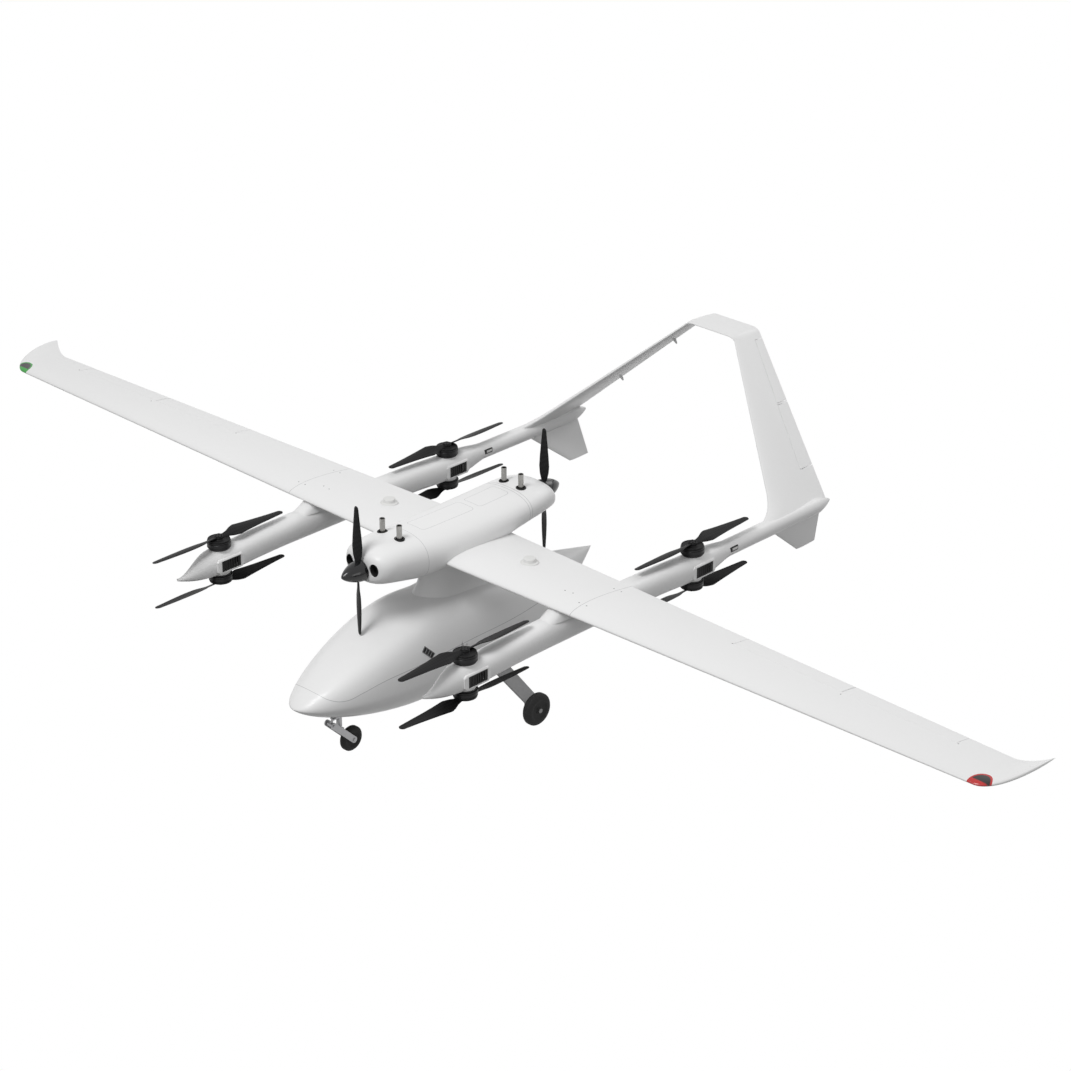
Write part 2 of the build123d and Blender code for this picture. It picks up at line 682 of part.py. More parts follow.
with BuildPart() as fuselage_tub:
    add(fuselage_form)
    add(above_seam.part, mode=Mode.SUBTRACT)
    add(block(pad_low, pad_high))
    add(upper_hollow.part, mode=Mode.SUBTRACT)
    add(lower_hollow.part, mode=Mode.SUBTRACT)
    with BuildSketch():
        with Locations((0, NOSE_GEAR_Y)):
            Circle(NOSE_STRUT_RADIUS + RUNNING_CLEARANCE)
    extrude(amount=strut_top, mode=Mode.SUBTRACT)
    with BuildSketch(Plane.XY.offset(pad_low[2])):
        with Locations((0, PAD_Y)):
            with GridLocations(PAD_BOLT_SPACING, PAD_BOLT_SPACING, 2, 2):
                Circle(PAD_BOLT_RADIUS)
    extrude(amount=PAD_BOLT_DEPTH, mode=Mode.SUBTRACT)
save(fuselage_tub, "fuselage_tub")

with BuildPart() as main_gear_leaf:
    add(leaf)
    for side in SIDES.values():
        with BuildSketch(Plane.YZ.offset(side * LEAF_FOOT_X - 20)):
            with Locations((MAIN_GEAR_Y, MAIN_WHEEL_RADIUS)):
                Circle(AXLE_RADIUS)
        extrude(amount=40, mode=Mode.SUBTRACT)
save(main_gear_leaf, "main_gear_leaf")


# ---------------------------------------------------------------- nacelle
def nacelle_ring(turn, inset):
    """Section at a turn of -90 to 90 degrees, where the distance aft follows the turn's sine, so that
    the sections crowd towards both ends."""
    middle = (FRONT_COWL_Y + REAR_COWL_Y) / 2
    half = (REAR_COWL_Y - FRONT_COWL_Y) / 2
    places, *shapes = zip(*NACELLE_RINGS)
    turns = np.degrees(np.arcsin((np.array(places) - middle) / half))
    width, low, high = (float(np.interp(turn, turns, shape)) for shape in shapes)
    plane = upright(middle + half * math.sin(math.radians(turn)))
    return oval(plane, width - inset, low + inset, (low + high) / 2, high - inset, BOXY, BOXY)


def nacelle_solid(inset):
    """Nacelle lofted over its sections, moved in by inset."""
    return lofted([nacelle_ring(turn, inset) for turn in range(-90, 91, 9)])


nacelle_form = nacelle_solid(0)
with BuildPart() as nacelle_hollow:
    add(nacelle_solid(NACELLE_WALL))
    room_low = (-300, FRONT_COWL_Y + NACELLE_FACE, 600)
    add(block(room_low, (300, REAR_COWL_Y - NACELLE_FACE, 1100)), mode=Mode.INTERSECT)
nacelle_room = nacelle_hollow.part

with BuildPart() as pylon:
    for z, half_width, front, rear in PYLON_OUTLINES:
        add(oval(Plane.XY.offset(z), half_width, front, (front + rear) / 2, rear, ELLIPSE, ELLIPSE))
    loft()
    add(fuselage_form, mode=Mode.SUBTRACT)
    add(nacelle_form, mode=Mode.SUBTRACT)
    add(wing_centre_form, mode=Mode.SUBTRACT)
save(pylon, "pylon")

stack_places = {"front": FRONT_EXHAUST_Y, "rear": REAR_EXHAUST_Y}
shaft_heights = {"front": FRONT_SHAFT_Z, "rear": REAR_SHAFT_Z}
cowl_faces = {"front": FRONT_COWL_Y, "rear": REAR_COWL_Y}
prop_radii = {"front": FRONT_PROP_RADIUS, "rear": REAR_PROP_RADIUS}

for end, way in ENDS.items():
    with BuildPart() as cowl:
        add(nacelle_form)
        add(nacelle_room, mode=Mode.SUBTRACT)
        near, far = way * COWL_JOINT_Y, way * 700
        add(block((-300, min(near, far), 600), (300, max(near, far), 1100)), mode=Mode.INTERSECT)
        with BuildSketch(Plane.XY.offset(shaft_heights[end])):
            for side in SIDES.values():
                with Locations((side * EXHAUST_X, stack_places[end])):
                    Circle(GROMMET_RADIUS)
        extrude(amount=150, mode=Mode.SUBTRACT)
        with BuildSketch(upright(cowl_faces[end] + way * 10)):
            with Locations((0, shaft_heights[end])):
                Circle(ENGINE_HUB_RADIUS - 8)
        extrude(amount=way * 60, mode=Mode.SUBTRACT)
        if end == "front":
            with BuildSketch(upright(cowl_faces[end] - 10)):
                for side in SIDES.values():
                    with Locations((side * INTAKE_X, INTAKE_Z)):
                        Ellipse(INTAKE_HALF_WIDTH, INTAKE_HALF_HEIGHT)
            extrude(amount=-70, mode=Mode.SUBTRACT)
    save(cowl, f"{end}_cowl")

hatch_spaces = [
    block((-HATCH_HALF_WIDTH, front, HATCH_SEAT_Z), (HATCH_HALF_WIDTH, rear, HATCH_SEAT_Z + 100))
    for front, rear in HATCHES
]
shell_span = block((-300, -COWL_JOINT_Y, 600), (300, COWL_JOINT_Y, 1100))
room_span = block(
    (-300, FIREWALL_THICKNESS - COWL_JOINT_Y, 600), (300, COWL_JOINT_Y - FIREWALL_THICKNESS, 1100)
)
with BuildPart() as firewalled_room:
    add(nacelle_room)
    add(room_span, mode=Mode.INTERSECT)

with BuildPart() as nacelle_shell:
    add(nacelle_form)
    add(shell_span, mode=Mode.INTERSECT)
    add(firewalled_room.part, mode=Mode.SUBTRACT)
    add(wing_centre_form, mode=Mode.SUBTRACT)
    for space in hatch_spaces:
        add(space, mode=Mode.SUBTRACT)
save(nacelle_shell, "nacelle_shell")

with BuildPart() as nacelle_hatches:
    for space in hatch_spaces:
        add(space)
    add(nacelle_form, mode=Mode.INTERSECT)
save(nacelle_hatches, "nacelle_hatches")

# ---------------------------------------------------------------- engines, exhausts and engine propellers
with BuildPart() as engines:
    for end, way in ENDS.items():
        shaft_z = shaft_heights[end]
        cylinder_y = stack_places[end]
        crank_end = cowl_faces[end] - way * (CRANKCASE_RADIUS - 8)
        add(rod((0, way * COWL_JOINT_Y, shaft_z), (0, crank_end, shaft_z), CRANKCASE_RADIUS))
        add(rod((-CYLINDER_REACH, cylinder_y, shaft_z), (CYLINDER_REACH, cylinder_y, shaft_z), CYLINDER_RADIUS))
        fin_count = int((CYLINDER_REACH - EXHAUST_X - EXHAUST_FLANGE_RADIUS) / FIN_PITCH)
        for side in SIDES.values():
            for fin in range(fin_count):
                fin_x = side * (CYLINDER_REACH - fin * FIN_PITCH - FIN_THICKNESS)
                fin_start = (fin_x, cylinder_y, shaft_z)
                add(rod(fin_start, (fin_x + side * FIN_THICKNESS, cylinder_y, shaft_z), FIN_RADIUS))
            half = EXHAUST_FLANGE_RADIUS
            port_low = (side * EXHAUST_X - half, cylinder_y - half, shaft_z)
            port_high = (side * EXHAUST_X + half, cylinder_y + half, shaft_z + EXHAUST_PORT_RISE)
            add(block(port_low, port_high))
        crank_hole = CRANKSHAFT_RADIUS + RUNNING_CLEARANCE
        hole_start = (0, way * COWL_JOINT_Y, shaft_z)
        add(rod(hole_start, (0, crank_end + way, shaft_z), crank_hole), mode=Mode.SUBTRACT)
save(engines, "engines")

with BuildPart() as exhaust_stacks:
    for end in ENDS:
        for side in SIDES.values():
            base = (side * EXHAUST_X, stack_places[end])
            port_top = shaft_heights[end] + EXHAUST_PORT_RISE
            with BuildSketch(Plane.XY.offset(port_top)):
                with Locations(base):
                    Circle(EXHAUST_FLANGE_RADIUS - 2)
            extrude(amount=4)
            with BuildSketch(Plane.XY.offset(port_top)):
                with Locations(base):
                    Circle(EXHAUST_RADIUS)
            extrude(amount=EXHAUST_TOP_Z - port_top)
            with BuildSketch(Plane.XY.offset(port_top + 4)):
                with Locations(base):
                    Circle(EXHAUST_BORE)
            extrude(amount=EXHAUST_TOP_Z - port_top, mode=Mode.SUBTRACT)
with BuildPart() as exhaust_grommets:
    for end in ENDS:
        with BuildSketch(Plane.XY.offset(shaft_heights[end])):
            for side in SIDES.values():
                with Locations((side * EXHAUST_X, stack_places[end])):
                    Circle(GROMMET_RADIUS)
                    Circle(GROMMET_BORE, mode=Mode.SUBTRACT)
        extrude(amount=150)
    add(nacelle_form, mode=Mode.INTERSECT)
    add(nacelle_room, mode=Mode.SUBTRACT)

with BuildPart() as exhausts:
    add(exhaust_stacks.part)
    add(exhaust_grommets.part)
save(exhausts, "exhaust_stacks")


def blade(shaft, reach, radius, rows, pitch, hand):
    """One twisted blade from the shaft plane's origin towards reach, with a lens-shaped section per row.
    Each row gives a share of the radius, the chord there and the thickness there."""
    across = shaft.z_dir.cross(reach)
    sections = []
    for share, chord, thickness in rows:
        angle = min(math.atan2(pitch, 2 * math.pi * share * radius), math.radians(BLADE_STEEPEST))
        chordwise = across * math.cos(angle) + shaft.z_dir * math.sin(angle) * hand
        place = Plane(origin=shaft.origin + reach * (share * radius), x_dir=chordwise, z_dir=reach)
        with BuildSketch(place) as section:
            with BuildLine():
                ThreePointArc((-chord / 2, 0), (0, thickness / 2), (chord / 2, 0))
                ThreePointArc((chord / 2, 0), (0, -thickness / 2), (-chord / 2, 0))
            make_face()
        sections.append(section.sketch)
    return lofted(sections)


LIFT_BLADE = ((0.05, 24, 9), (0.13, 38, 9), (0.27, 72, 8), (0.6, 50, 5), (0.93, 30, 3), (1, 21, 2.2))
ENGINE_BLADE = ((0.08, 22, 10), (0.16, 28, 8), (0.38, 50, 7), (0.7, 40, 4.5), (0.93, 25, 3), (1, 15, 2.2))


def engine_shaft(end, along):
    """Plane square to an engine shaft, a distance out from the cowl's face, with its z pointing outwards."""
    y = cowl_faces[end] + ENDS[end] * along
    return Plane(origin=(0, y, shaft_heights[end]), x_dir=(1, 0, 0), z_dir=(0, ENDS[end], 0))


for end, way in ENDS.items():
    base = engine_shaft(end, SPINNER_GAP)
    hub_middle = base.offset(SPINNER_BACKPLATE + ENGINE_HUB_HALF_DEPTH)
    shaft_axis = Axis(tuple(base.origin), (0, 1, 0))
    profile_plane = Plane(origin=base.origin, x_dir=(0, way, 0), z_dir=(way, 0, 0))

    with BuildPart() as spinner:
        for inset, mode in ((0, Mode.ADD), (SPINNER_WALL, Mode.SUBTRACT)):
            radius = SPINNER_RADIUS - inset
            foot = SPINNER_BACKPLATE if inset else 0
            length = SPINNER_LENGTH - 2 * inset
            with BuildSketch(profile_plane):
                with BuildLine():
                    Polyline((length, 0), (foot, 0), (foot, radius))
                    Bezier((foot, radius), (length * 0.42, radius), (length * 0.9, radius * 0.42), (length, 0))
                make_face()
            revolve(axis=shaft_axis, mode=mode)
        with BuildSketch(hub_middle.offset(-SPINNER_SLOT_HALF_DEPTH)):
            Rectangle(2 * SPINNER_SLOT_HALF_WIDTH, 3 * SPINNER_RADIUS)
        extrude(amount=2 * SPINNER_SLOT_HALF_DEPTH, mode=Mode.SUBTRACT)
        with BuildSketch(base):
            Circle(CRANKSHAFT_RADIUS)
        extrude(amount=SPINNER_BACKPLATE, mode=Mode.SUBTRACT)
    save(spinner, f"{end}_spinner")

    with BuildPart() as propeller:
        with BuildSketch(hub_middle.offset(-ENGINE_HUB_HALF_DEPTH)):
            Circle(ENGINE_HUB_RADIUS)
        extrude(amount=2 * ENGINE_HUB_HALF_DEPTH)
        for up in (1, -1):
            add(blade(hub_middle, Vector(0, 0, up), prop_radii[end], ENGINE_BLADE, ENGINE_PROP_PITCH, 1))
        shaft_foot = (0, way * (COWL_JOINT_Y + 30), shaft_heights[end])
        add(rod(shaft_foot, tuple(hub_middle.origin), CRANKSHAFT_RADIUS))
    save(propeller, f"{end}_propeller")

# ---------------------------------------------------------------- lift booms
SADDLE_OUTLINES = ((765, 57, -262, 222), (800, 54, -196, 190), (836, 46, -118, 58))


def tube_ring(side, y, radius):
    """Round section of the tail tube."""
    plane = upright(y, side * BOOM_X)
    return oval(plane, radius, TAIL_TUBE_Z - radius, TAIL_TUBE_Z, TAIL_TUBE_Z + radius, ELLIPSE, ELLIPSE)


def boom_solid(side, inset, tube_end):
    """Boom pod lofted over its rings, moved in by inset, and the tail tube as far as tube_end."""
    faces = []
    for y, width, low, high, handle in BOOM_RINGS:
        plane = upright(y, side * BOOM_X)
        faces.append(oval(plane, width - inset, low + inset, (low + high) / 2, high - inset, handle, handle))
    tube = [tube_ring(side, y, TAIL_TUBE_RADIUS - inset) for y in (TAIL_TUBE_START_Y, tube_end)]
    with BuildPart() as solid:
        add(lofted(faces))
        add(lofted(tube, ruled=True))
    return solid.part


def boom_form(side):
    """Outside of a boom: pod, round tail tube and tapered tip."""
    tip_rings = []
    for share in (0, 0.35, 0.7, 1):
        radius = BOOM_TIP_RADIUS + (TAIL_TUBE_RADIUS - BOOM_TIP_RADIUS) * (1 - share**1.5)
        y = TAIL_TUBE_TAPER_Y + share * (BOOM_END_Y - TAIL_TUBE_TAPER_Y)
        tip_rings.append(tube_ring(side, y, radius))
    with BuildPart() as form:
        add(boom_solid(side, 0, TAIL_TUBE_TAPER_Y))
        add(lofted(tip_rings))
    return form.part


def boom_hollow(side):
    """Hollow inside a boom, from behind its solid nose to the end of the tail tube."""
    x = side * BOOM_X
    with BuildPart() as hollow:
        add(boom_solid(side, BOOM_WALL, TAIL_TUBE_TAPER_Y - BOOM_WALL))
        add(block((x - 100, BOOM_SOLID_NOSE_Y, 500), (x + 100, BOOM_END_Y, 900)), mode=Mode.INTERSECT)
    return hollow.part


boom_forms = {name: boom_form(side) for name, side in SIDES.items()}
lift_shafts = {
    (end, name): (side * BOOM_X, way * LIFT_HALF_PITCH) for end, way in ENDS.items() for name, side in SIDES.items()
}


def vent_blocks(side):
    """Blocks that the louvred vents fill, on both flanks of a boom beside each pair of lift motors."""
    blocks = []
    for way in ENDS.values():
        y = way * LIFT_HALF_PITCH + BOOM_VENT_OFFSET
        for flank in (1, -1):
            outer = side * BOOM_X + flank * (BOOM_RINGS[4][1] + 1)
            inner = outer - flank * BOOM_VENT_THICKNESS
            low = (min(inner, outer), y - BOOM_VENT_LENGTH / 2, BOOM_VENT_Z - BOOM_VENT_HEIGHT / 2)
            high = (max(inner, outer), y + BOOM_VENT_LENGTH / 2, BOOM_VENT_Z + BOOM_VENT_HEIGHT / 2)
            blocks.append(block(low, high))
    return blocks


for name, side in SIDES.items():
    x = side * BOOM_X
    with BuildPart() as saddle:
        for z, half_width, front, rear in SADDLE_OUTLINES:
            plane = Plane(origin=(x, 0, z), x_dir=(1, 0, 0), z_dir=(0, 0, 1))
            add(oval(plane, half_width, front, (front + rear) / 2, rear, SHOULDERED, SHOULDERED))
        loft()
        add(wing_centre_form, mode=Mode.SUBTRACT)

    with BuildPart() as boom:
        add(boom_forms[name])
        add(saddle.part)
        add(boom_hollow(side), mode=Mode.SUBTRACT)
        for way in ENDS.values():
            y = way * LIFT_HALF_PITCH
            add(rod((x, y, LOWER_PAD_Z - 1), (x, y, UPPER_PAD_Z + 1), STATOR_RADIUS))
            add(rod((x, y, UPPER_PAD_Z), (x, y, UPPER_PAD_Z + 30), MOTOR_RADIUS + 3), mode=Mode.SUBTRACT)
            add(rod((x, y, LOWER_PAD_Z), (x, y, LOWER_PAD_Z - 30), MOTOR_RADIUS + 3), mode=Mode.SUBTRACT)
        for space in vent_blocks(side):
            add(space, mode=Mode.SUBTRACT)
    save(boom, f"boom_{name}")

louvre_width = BOOM_VENT_LENGTH / (LOUVRE_COUNT + 2) - 4
with BuildPart() as cooling_vents:
    for side in SIDES.values():
        for space in vent_blocks(side):
            add(space)
    with BuildSketch(Plane.YZ.offset(-2 * BOOM_X)):
        for way in ENDS.values():
            with Locations((way * LIFT_HALF_PITCH + BOOM_VENT_OFFSET, BOOM_VENT_Z)):
                with GridLocations(BOOM_VENT_LENGTH / (LOUVRE_COUNT + 2), 0, LOUVRE_COUNT, 1):
                    Rectangle(louvre_width, BOOM_VENT_HEIGHT - 14)
    extrude(amount=4 * BOOM_X, mode=Mode.SUBTRACT)

with BuildPart() as side_vents:
    for space in vent_spaces:
        add(space)
    add(fuselage_form, mode=Mode.INTERSECT)
    add(fuselage_room, mode=Mode.SUBTRACT)

with BuildPart() as vents:
    add(cooling_vents.part)
    add(side_vents.part)
save(vents, "cooling_vents")


# ---------------------------------------------------------------- lift motors and propellers
def motor_base(pad):
    """Fixed half of a lift motor: mounting disc and stator, with a bearing hole for the bell's shaft."""
    with BuildPart() as base:
        with BuildSketch(pad):
            Circle(MOTOR_RADIUS - MOTOR_WALL)
        extrude(amount=MOTOR_BASE_HEIGHT)
        with BuildSketch(pad):
            Circle(STATOR_RADIUS)
        extrude(amount=STATOR_TOP)
        with BuildSketch(pad.offset(MOTOR_BASE_HEIGHT)):
            Circle(MOTOR_SHAFT_RADIUS + RUNNING_CLEARANCE)
        extrude(amount=STATOR_TOP, mode=Mode.SUBTRACT)
    return base.part


def motor_bell(pad):
    """Turning half of a lift motor: an open can with a vented top, a boss and a shaft."""
    skirt = MOTOR_BASE_HEIGHT + BELL_SKIRT_GAP
    with BuildPart() as bell:
        with BuildSketch(pad.offset(skirt)):
            Circle(MOTOR_RADIUS)
        extrude(amount=BELL_TOP - skirt)
        with BuildSketch(pad.offset(skirt)):
            Circle(MOTOR_RADIUS - MOTOR_WALL)
        extrude(amount=BELL_TOP - skirt - MOTOR_WALL, mode=Mode.SUBTRACT)
        with BuildSketch(pad.offset(BELL_TOP - MOTOR_WALL)):
            with PolarLocations((MOTOR_RADIUS + BELL_BOSS_RADIUS) / 2, 8):
                Circle(MOTOR_WALL + 3)
        extrude(amount=2 * MOTOR_WALL, mode=Mode.SUBTRACT)
        with BuildSketch(pad.offset(BELL_TOP - MOTOR_WALL)):
            Circle(BELL_BOSS_RADIUS)
        extrude(amount=MOTOR_STACK - PROP_HUB_HALF_DEPTH - BELL_TOP + MOTOR_WALL)
        with BuildSketch(pad.offset(MOTOR_BASE_HEIGHT + 2)):
            Circle(MOTOR_SHAFT_RADIUS)
        extrude(amount=BELL_TOP - MOTOR_BASE_HEIGHT - 2)
    return bell


def lift_propeller(pad, hand):
    """Two blades on a hub, and the clamp disc that holds them."""
    middle = pad.offset(MOTOR_STACK)
    with BuildPart() as propeller:
        with BuildSketch(middle.offset(-PROP_HUB_HALF_DEPTH)):
            Circle(LIFT_HUB_RADIUS)
        extrude(amount=2 * PROP_HUB_HALF_DEPTH)
        for way in ENDS.values():
            add(blade(middle, Vector(0, way, 0), LIFT_PROP_RADIUS, LIFT_BLADE, LIFT_PROP_PITCH, hand))
        with BuildSketch(middle.offset(PROP_HUB_HALF_DEPTH)):
            Circle(CLAMP_RADIUS)
        extrude(amount=CLAMP_DEPTH)
    return propeller


motor_bases = []
for (end, name), (x, y) in lift_shafts.items():
    for level, pad_z, up in (("upper", UPPER_PAD_Z, 1), ("lower", LOWER_PAD_Z, -1)):
        pad = Plane(origin=(x, y, pad_z), x_dir=(1, 0, 0), z_dir=(0, 0, up))
        motor_bases.append(motor_base(pad))
        place = f"{end}_{name}_{level}"
        save(motor_bell(pad), f"motor_bell_{place}")
        save(lift_propeller(pad, SIDES[name] * ENDS[end]), f"lift_propeller_{place}")

with BuildPart() as lift_motor_bases:
    for base in motor_bases:
        add(base)
save(lift_motor_bases, "lift_motor_bases")


# ---------------------------------------------------------------- tail
def tail_leading(span):
    """Leading edge of a leaning tail panel at a distance along it from its root."""
    return TAIL_ROOT_LEADING_Y + (TAIL_TOP_LEADING_Y - TAIL_ROOT_LEADING_Y) * span / TAIL_LENGTH


def tail_chord(span):
    """Chord of a leaning tail panel at a distance along it from its root."""
    return TAIL_ROOT_CHORD + (TAIL_TOP_CHORD - TAIL_ROOT_CHORD) * span / TAIL_LENGTH


def tail_panel_lines(side):
    """Plane, hinge line and chord of one leaning tail panel."""
    lean = math.radians(TAIL_TURN)
    outward = (math.sin(lean), 0, side * math.cos(lean))
    root = (side * TAIL_ROOT_X, 0, TAIL_ROOT_Z)
    plane = Plane(origin=root, x_dir=(0, 1, 0), z_dir=outward)
    return HingedPanel(plane=plane, leading=tail_leading, chord=tail_chord, section=TAIL_SECTION)


def tail_ring(panel, span, forward=0.0):
    """Section square to the leaning panel, its leading edge moved forward at the root fillet."""
    origin = panel.plane.from_local_coords((tail_leading(span) - forward, span, 0))
    plane = Plane(origin=origin, x_dir=(0, 1, 0), z_dir=panel.plane.y_dir)
    chord = tail_chord(span)
    return aerofoil(plane, chord + forward, TAIL_SECTION, chord / (chord + forward))


horn_outline = [(2, 0), (26, 0), (17, 30), (10, 30)]
middle_rib = (RUDDERVATOR_START + RUDDERVATOR_END) / 2
tail_surfaces = (
    (RUDDERVATOR_START, middle_rib - RUDDERVATOR_RIB / 2),
    (middle_rib + RUDDERVATOR_RIB / 2, RUDDERVATOR_END),
)
for name, side in SIDES.items():
    panel = tail_panel_lines(side)
    leaning = lofted([tail_ring(panel, span) for span in (-TAIL_BURY, TAIL_LENGTH)], ruled=True)
    fillet_steps = ((-TAIL_BURY, 1.4), (0, 0.75), (30, 0.32), (70, 0.08), (110, 0))
    root_fillet = lofted([tail_ring(panel, span, TAIL_FILLET_REACH * share) for span, share in fillet_steps])
    pin_hole = panel.pin(RUDDERVATOR_START, RUDDERVATOR_END, HINGE_PIN_RADIUS + RUNNING_CLEARANCE)
    pins.append(panel.pin(RUDDERVATOR_START, RUDDERVATOR_END, HINGE_PIN_RADIUS))

    with BuildPart() as tail_panel:
        add(leaning)
        add(root_fillet)
        add(boom_forms[name], mode=Mode.SUBTRACT)
        for start, end in tail_surfaces:
            add(panel.surface_space(start, end, RUDDERVATOR_GAP), mode=Mode.SUBTRACT)
        add(pin_hole, mode=Mode.SUBTRACT)
    save(tail_panel, f"tail_panel_{name}")

    with BuildPart() as ruddervator:
        for start, end in tail_surfaces:
            add(panel.surface_space(start, end, 0))
        add(leaning, mode=Mode.INTERSECT)
        for start, end in tail_surfaces:
            hinge = panel.hinge((start + end) / 2)
            with BuildSketch(Plane(origin=hinge, x_dir=(0, 1, 0), z_dir=panel.plane.y_dir)):
                with BuildLine():
                    Polyline(*[(aft, side * down) for aft, down in horn_outline], close=True)
                make_face()
            extrude(amount=3)
        add(pin_hole, mode=Mode.SUBTRACT)
    save(ruddervator, f"ruddervator_{name}")

corner_steps = 5
top_rings = []
for side in (1, -1):
    for step in range(corner_steps):
        turned = step / (corner_steps - 1)
        tilt = math.radians(TAIL_TURN) * (1 - turned if side > 0 else turned)
        centre_x = side * (TAIL_CORNER_X - TAIL_CORNER_TANGENT)
        x = centre_x + side * TAIL_CORNER_RADIUS * math.sin(tilt)
        z = TAIL_TOP_Z - TAIL_CORNER_RADIUS * (1 - math.cos(tilt))
        run = (-math.cos(tilt), 0, side * math.sin(tilt))
        plane = Plane(origin=(x, TAIL_TOP_LEADING_Y, z), x_dir=(0, 1, 0), z_dir=run)
        top_rings.append(aerofoil(plane, TAIL_TOP_CHORD, TAIL_SECTION))
with BuildPart() as tail_top_panel:
    loft(top_rings, ruled=True)
save(tail_top_panel, "tail_top_panel")

with BuildPart() as ventral_fins:
    for side in SIDES.values():
        fin_rings = []
        for x, z, leading, chord in (
            (FIN_TOP_X, FIN_TOP_Z, FIN_TOP_LEADING_Y, FIN_TOP_CHORD),
            (FIN_BOTTOM_X, FIN_BOTTOM_Z, FIN_BOTTOM_LEADING_Y, FIN_BOTTOM_CHORD),
        ):
            plane = Plane(origin=(side * x, leading, z), x_dir=(0, 1, 0), z_dir=(0, 0, -1))
            fin_rings.append(aerofoil(plane, chord, TAIL_SECTION, 0.7))
        add(lofted(fin_rings, ruled=True))
    for form in boom_forms.values():
        add(form, mode=Mode.SUBTRACT)
save(ventral_fins, "ventral_fins")


# ---------------------------------------------------------------- wheels and nose gear
def wheel(x, y, radius, width, hub_radius, bore):
    """Dished hub and solid tyre turned about a crosswise axle at wheel height."""
    plane = Plane(origin=(x, y, radius), x_dir=(1, 0, 0), z_dir=(0, -1, 0))
    axle = Axis((x, y, radius), (1, 0, 0))
    rim = (hub_radius + bore) / 2
    half = width / 2
    with BuildPart() as turned_hub:
        with BuildSketch(plane):
            with BuildLine():
                Polyline(
                    (-half, bore),
                    (half, bore),
                    (half, bore + 8),
                    (half - 5, bore + 10),
                    (half - 5, rim + 8),
                    (half - 1, hub_radius - 4),
                    (half - 1, hub_radius),
                    (1 - half, hub_radius),
                    (1 - half, hub_radius - 4),
                    (5 - half, rim + 8),
                    (5 - half, bore + 10),
                    (-half, bore + 8),
                    close=True,
                )
            make_face()
        revolve(axis=axle)
    with BuildPart() as tyre:
        with BuildSketch(plane) as tread:
            with Locations((0, (radius + hub_radius) / 2)):
                Rectangle(width, radius - hub_radius)
            fillet(tread.vertices().group_by(Axis.Y)[-1], width / 5)
        revolve(axis=axle)
    with BuildPart() as whole:
        add(turned_hub.part)
        add(tyre.part.solids())
    return whole


for name, side in SIDES.items():
    bore = AXLE_RADIUS + RUNNING_CLEARANCE
    main_wheel = wheel(
        side * MAIN_WHEEL_X, MAIN_GEAR_Y, MAIN_WHEEL_RADIUS, MAIN_WHEEL_WIDTH, MAIN_HUB_RADIUS, bore
    )
    save(main_wheel, f"main_wheel_{name}")

nose_bore = NOSE_AXLE_RADIUS + RUNNING_CLEARANCE
nose_wheel = wheel(0, NOSE_WHEEL_Y, NOSE_WHEEL_RADIUS, NOSE_WHEEL_WIDTH, NOSE_HUB_RADIUS, nose_bore)
save(nose_wheel, "nose_wheel")

with BuildPart() as pins_and_axles:
    for pin in pins:
        add(pin)
    for side in SIDES.values():
        inner_face = side * (MAIN_WHEEL_X - MAIN_WHEEL_WIDTH / 2 - 0.3)
        outer_face = side * (MAIN_WHEEL_X + MAIN_WHEEL_WIDTH / 2 + 0.3)
        tab_outer = side * (LEAF_FOOT_X + LEAF_THICKNESS / 2)
        tab_inner = side * (LEAF_FOOT_X - LEAF_THICKNESS / 2)
        nut_end = tab_inner - side * AXLE_HEAD_DEPTH
        head_end = outer_face + side * AXLE_HEAD_DEPTH
        for start, end, radius in (
            (nut_end, head_end, AXLE_RADIUS),
            (nut_end, tab_inner, AXLE_HEAD_RADIUS),
            (tab_outer, inner_face, AXLE_HEAD_RADIUS),
            (outer_face, head_end, AXLE_HEAD_RADIUS),
        ):
            add(rod((start, MAIN_GEAR_Y, MAIN_WHEEL_RADIUS), (end, MAIN_GEAR_Y, MAIN_WHEEL_RADIUS), radius))
save(pins_and_axles, "pins_and_axles")

plate_low = NOSE_STRUT_BOTTOM_Z + 46
with BuildPart() as nose_leg:
    add(rod((0, NOSE_GEAR_Y, NOSE_STRUT_BOTTOM_Z), (0, NOSE_GEAR_Y, strut_top), NOSE_STRUT_RADIUS))
    head_low = strut_top - STRUT_HEAD_HEIGHT + 0.3
    add(rod((0, NOSE_GEAR_Y, head_low), (0, NOSE_GEAR_Y, strut_top), NOSE_STRUT_RADIUS + 6))
    plate_front = (-NOSE_STRUT_RADIUS + 1, NOSE_LINK_TOP_Y - NOSE_LINK_RADIUS, plate_low)
    add(block(plate_front, (NOSE_STRUT_RADIUS - 1, NOSE_GEAR_Y, plate_low + 7)))
    add(rod((0, NOSE_LINK_TOP_Y, plate_low + 3), (0, FORK_PIVOT_Y, FORK_PIVOT_Z), NOSE_LINK_RADIUS))
    lug = FORK_INNER_X - 4
    add(rod((-lug, FORK_PIVOT_Y, FORK_PIVOT_Z), (lug, FORK_PIVOT_Y, FORK_PIVOT_Z), FORK_LUG_RADIUS))
    lug_bore = FORK_PIVOT_RADIUS + RUNNING_CLEARANCE
    pivot_ends = [(x, FORK_PIVOT_Y, FORK_PIVOT_Z) for x in (-lug - 5, lug + 5)]
    add(rod(*pivot_ends, lug_bore), mode=Mode.SUBTRACT)
    bore_foot = (0, NOSE_GEAR_Y, NOSE_STRUT_BOTTOM_Z - 1)
    add(rod(bore_foot, (0, NOSE_GEAR_Y, plate_low + 20), NOSE_STRUT_BORE), mode=Mode.SUBTRACT)
save(nose_leg, "nose_leg")

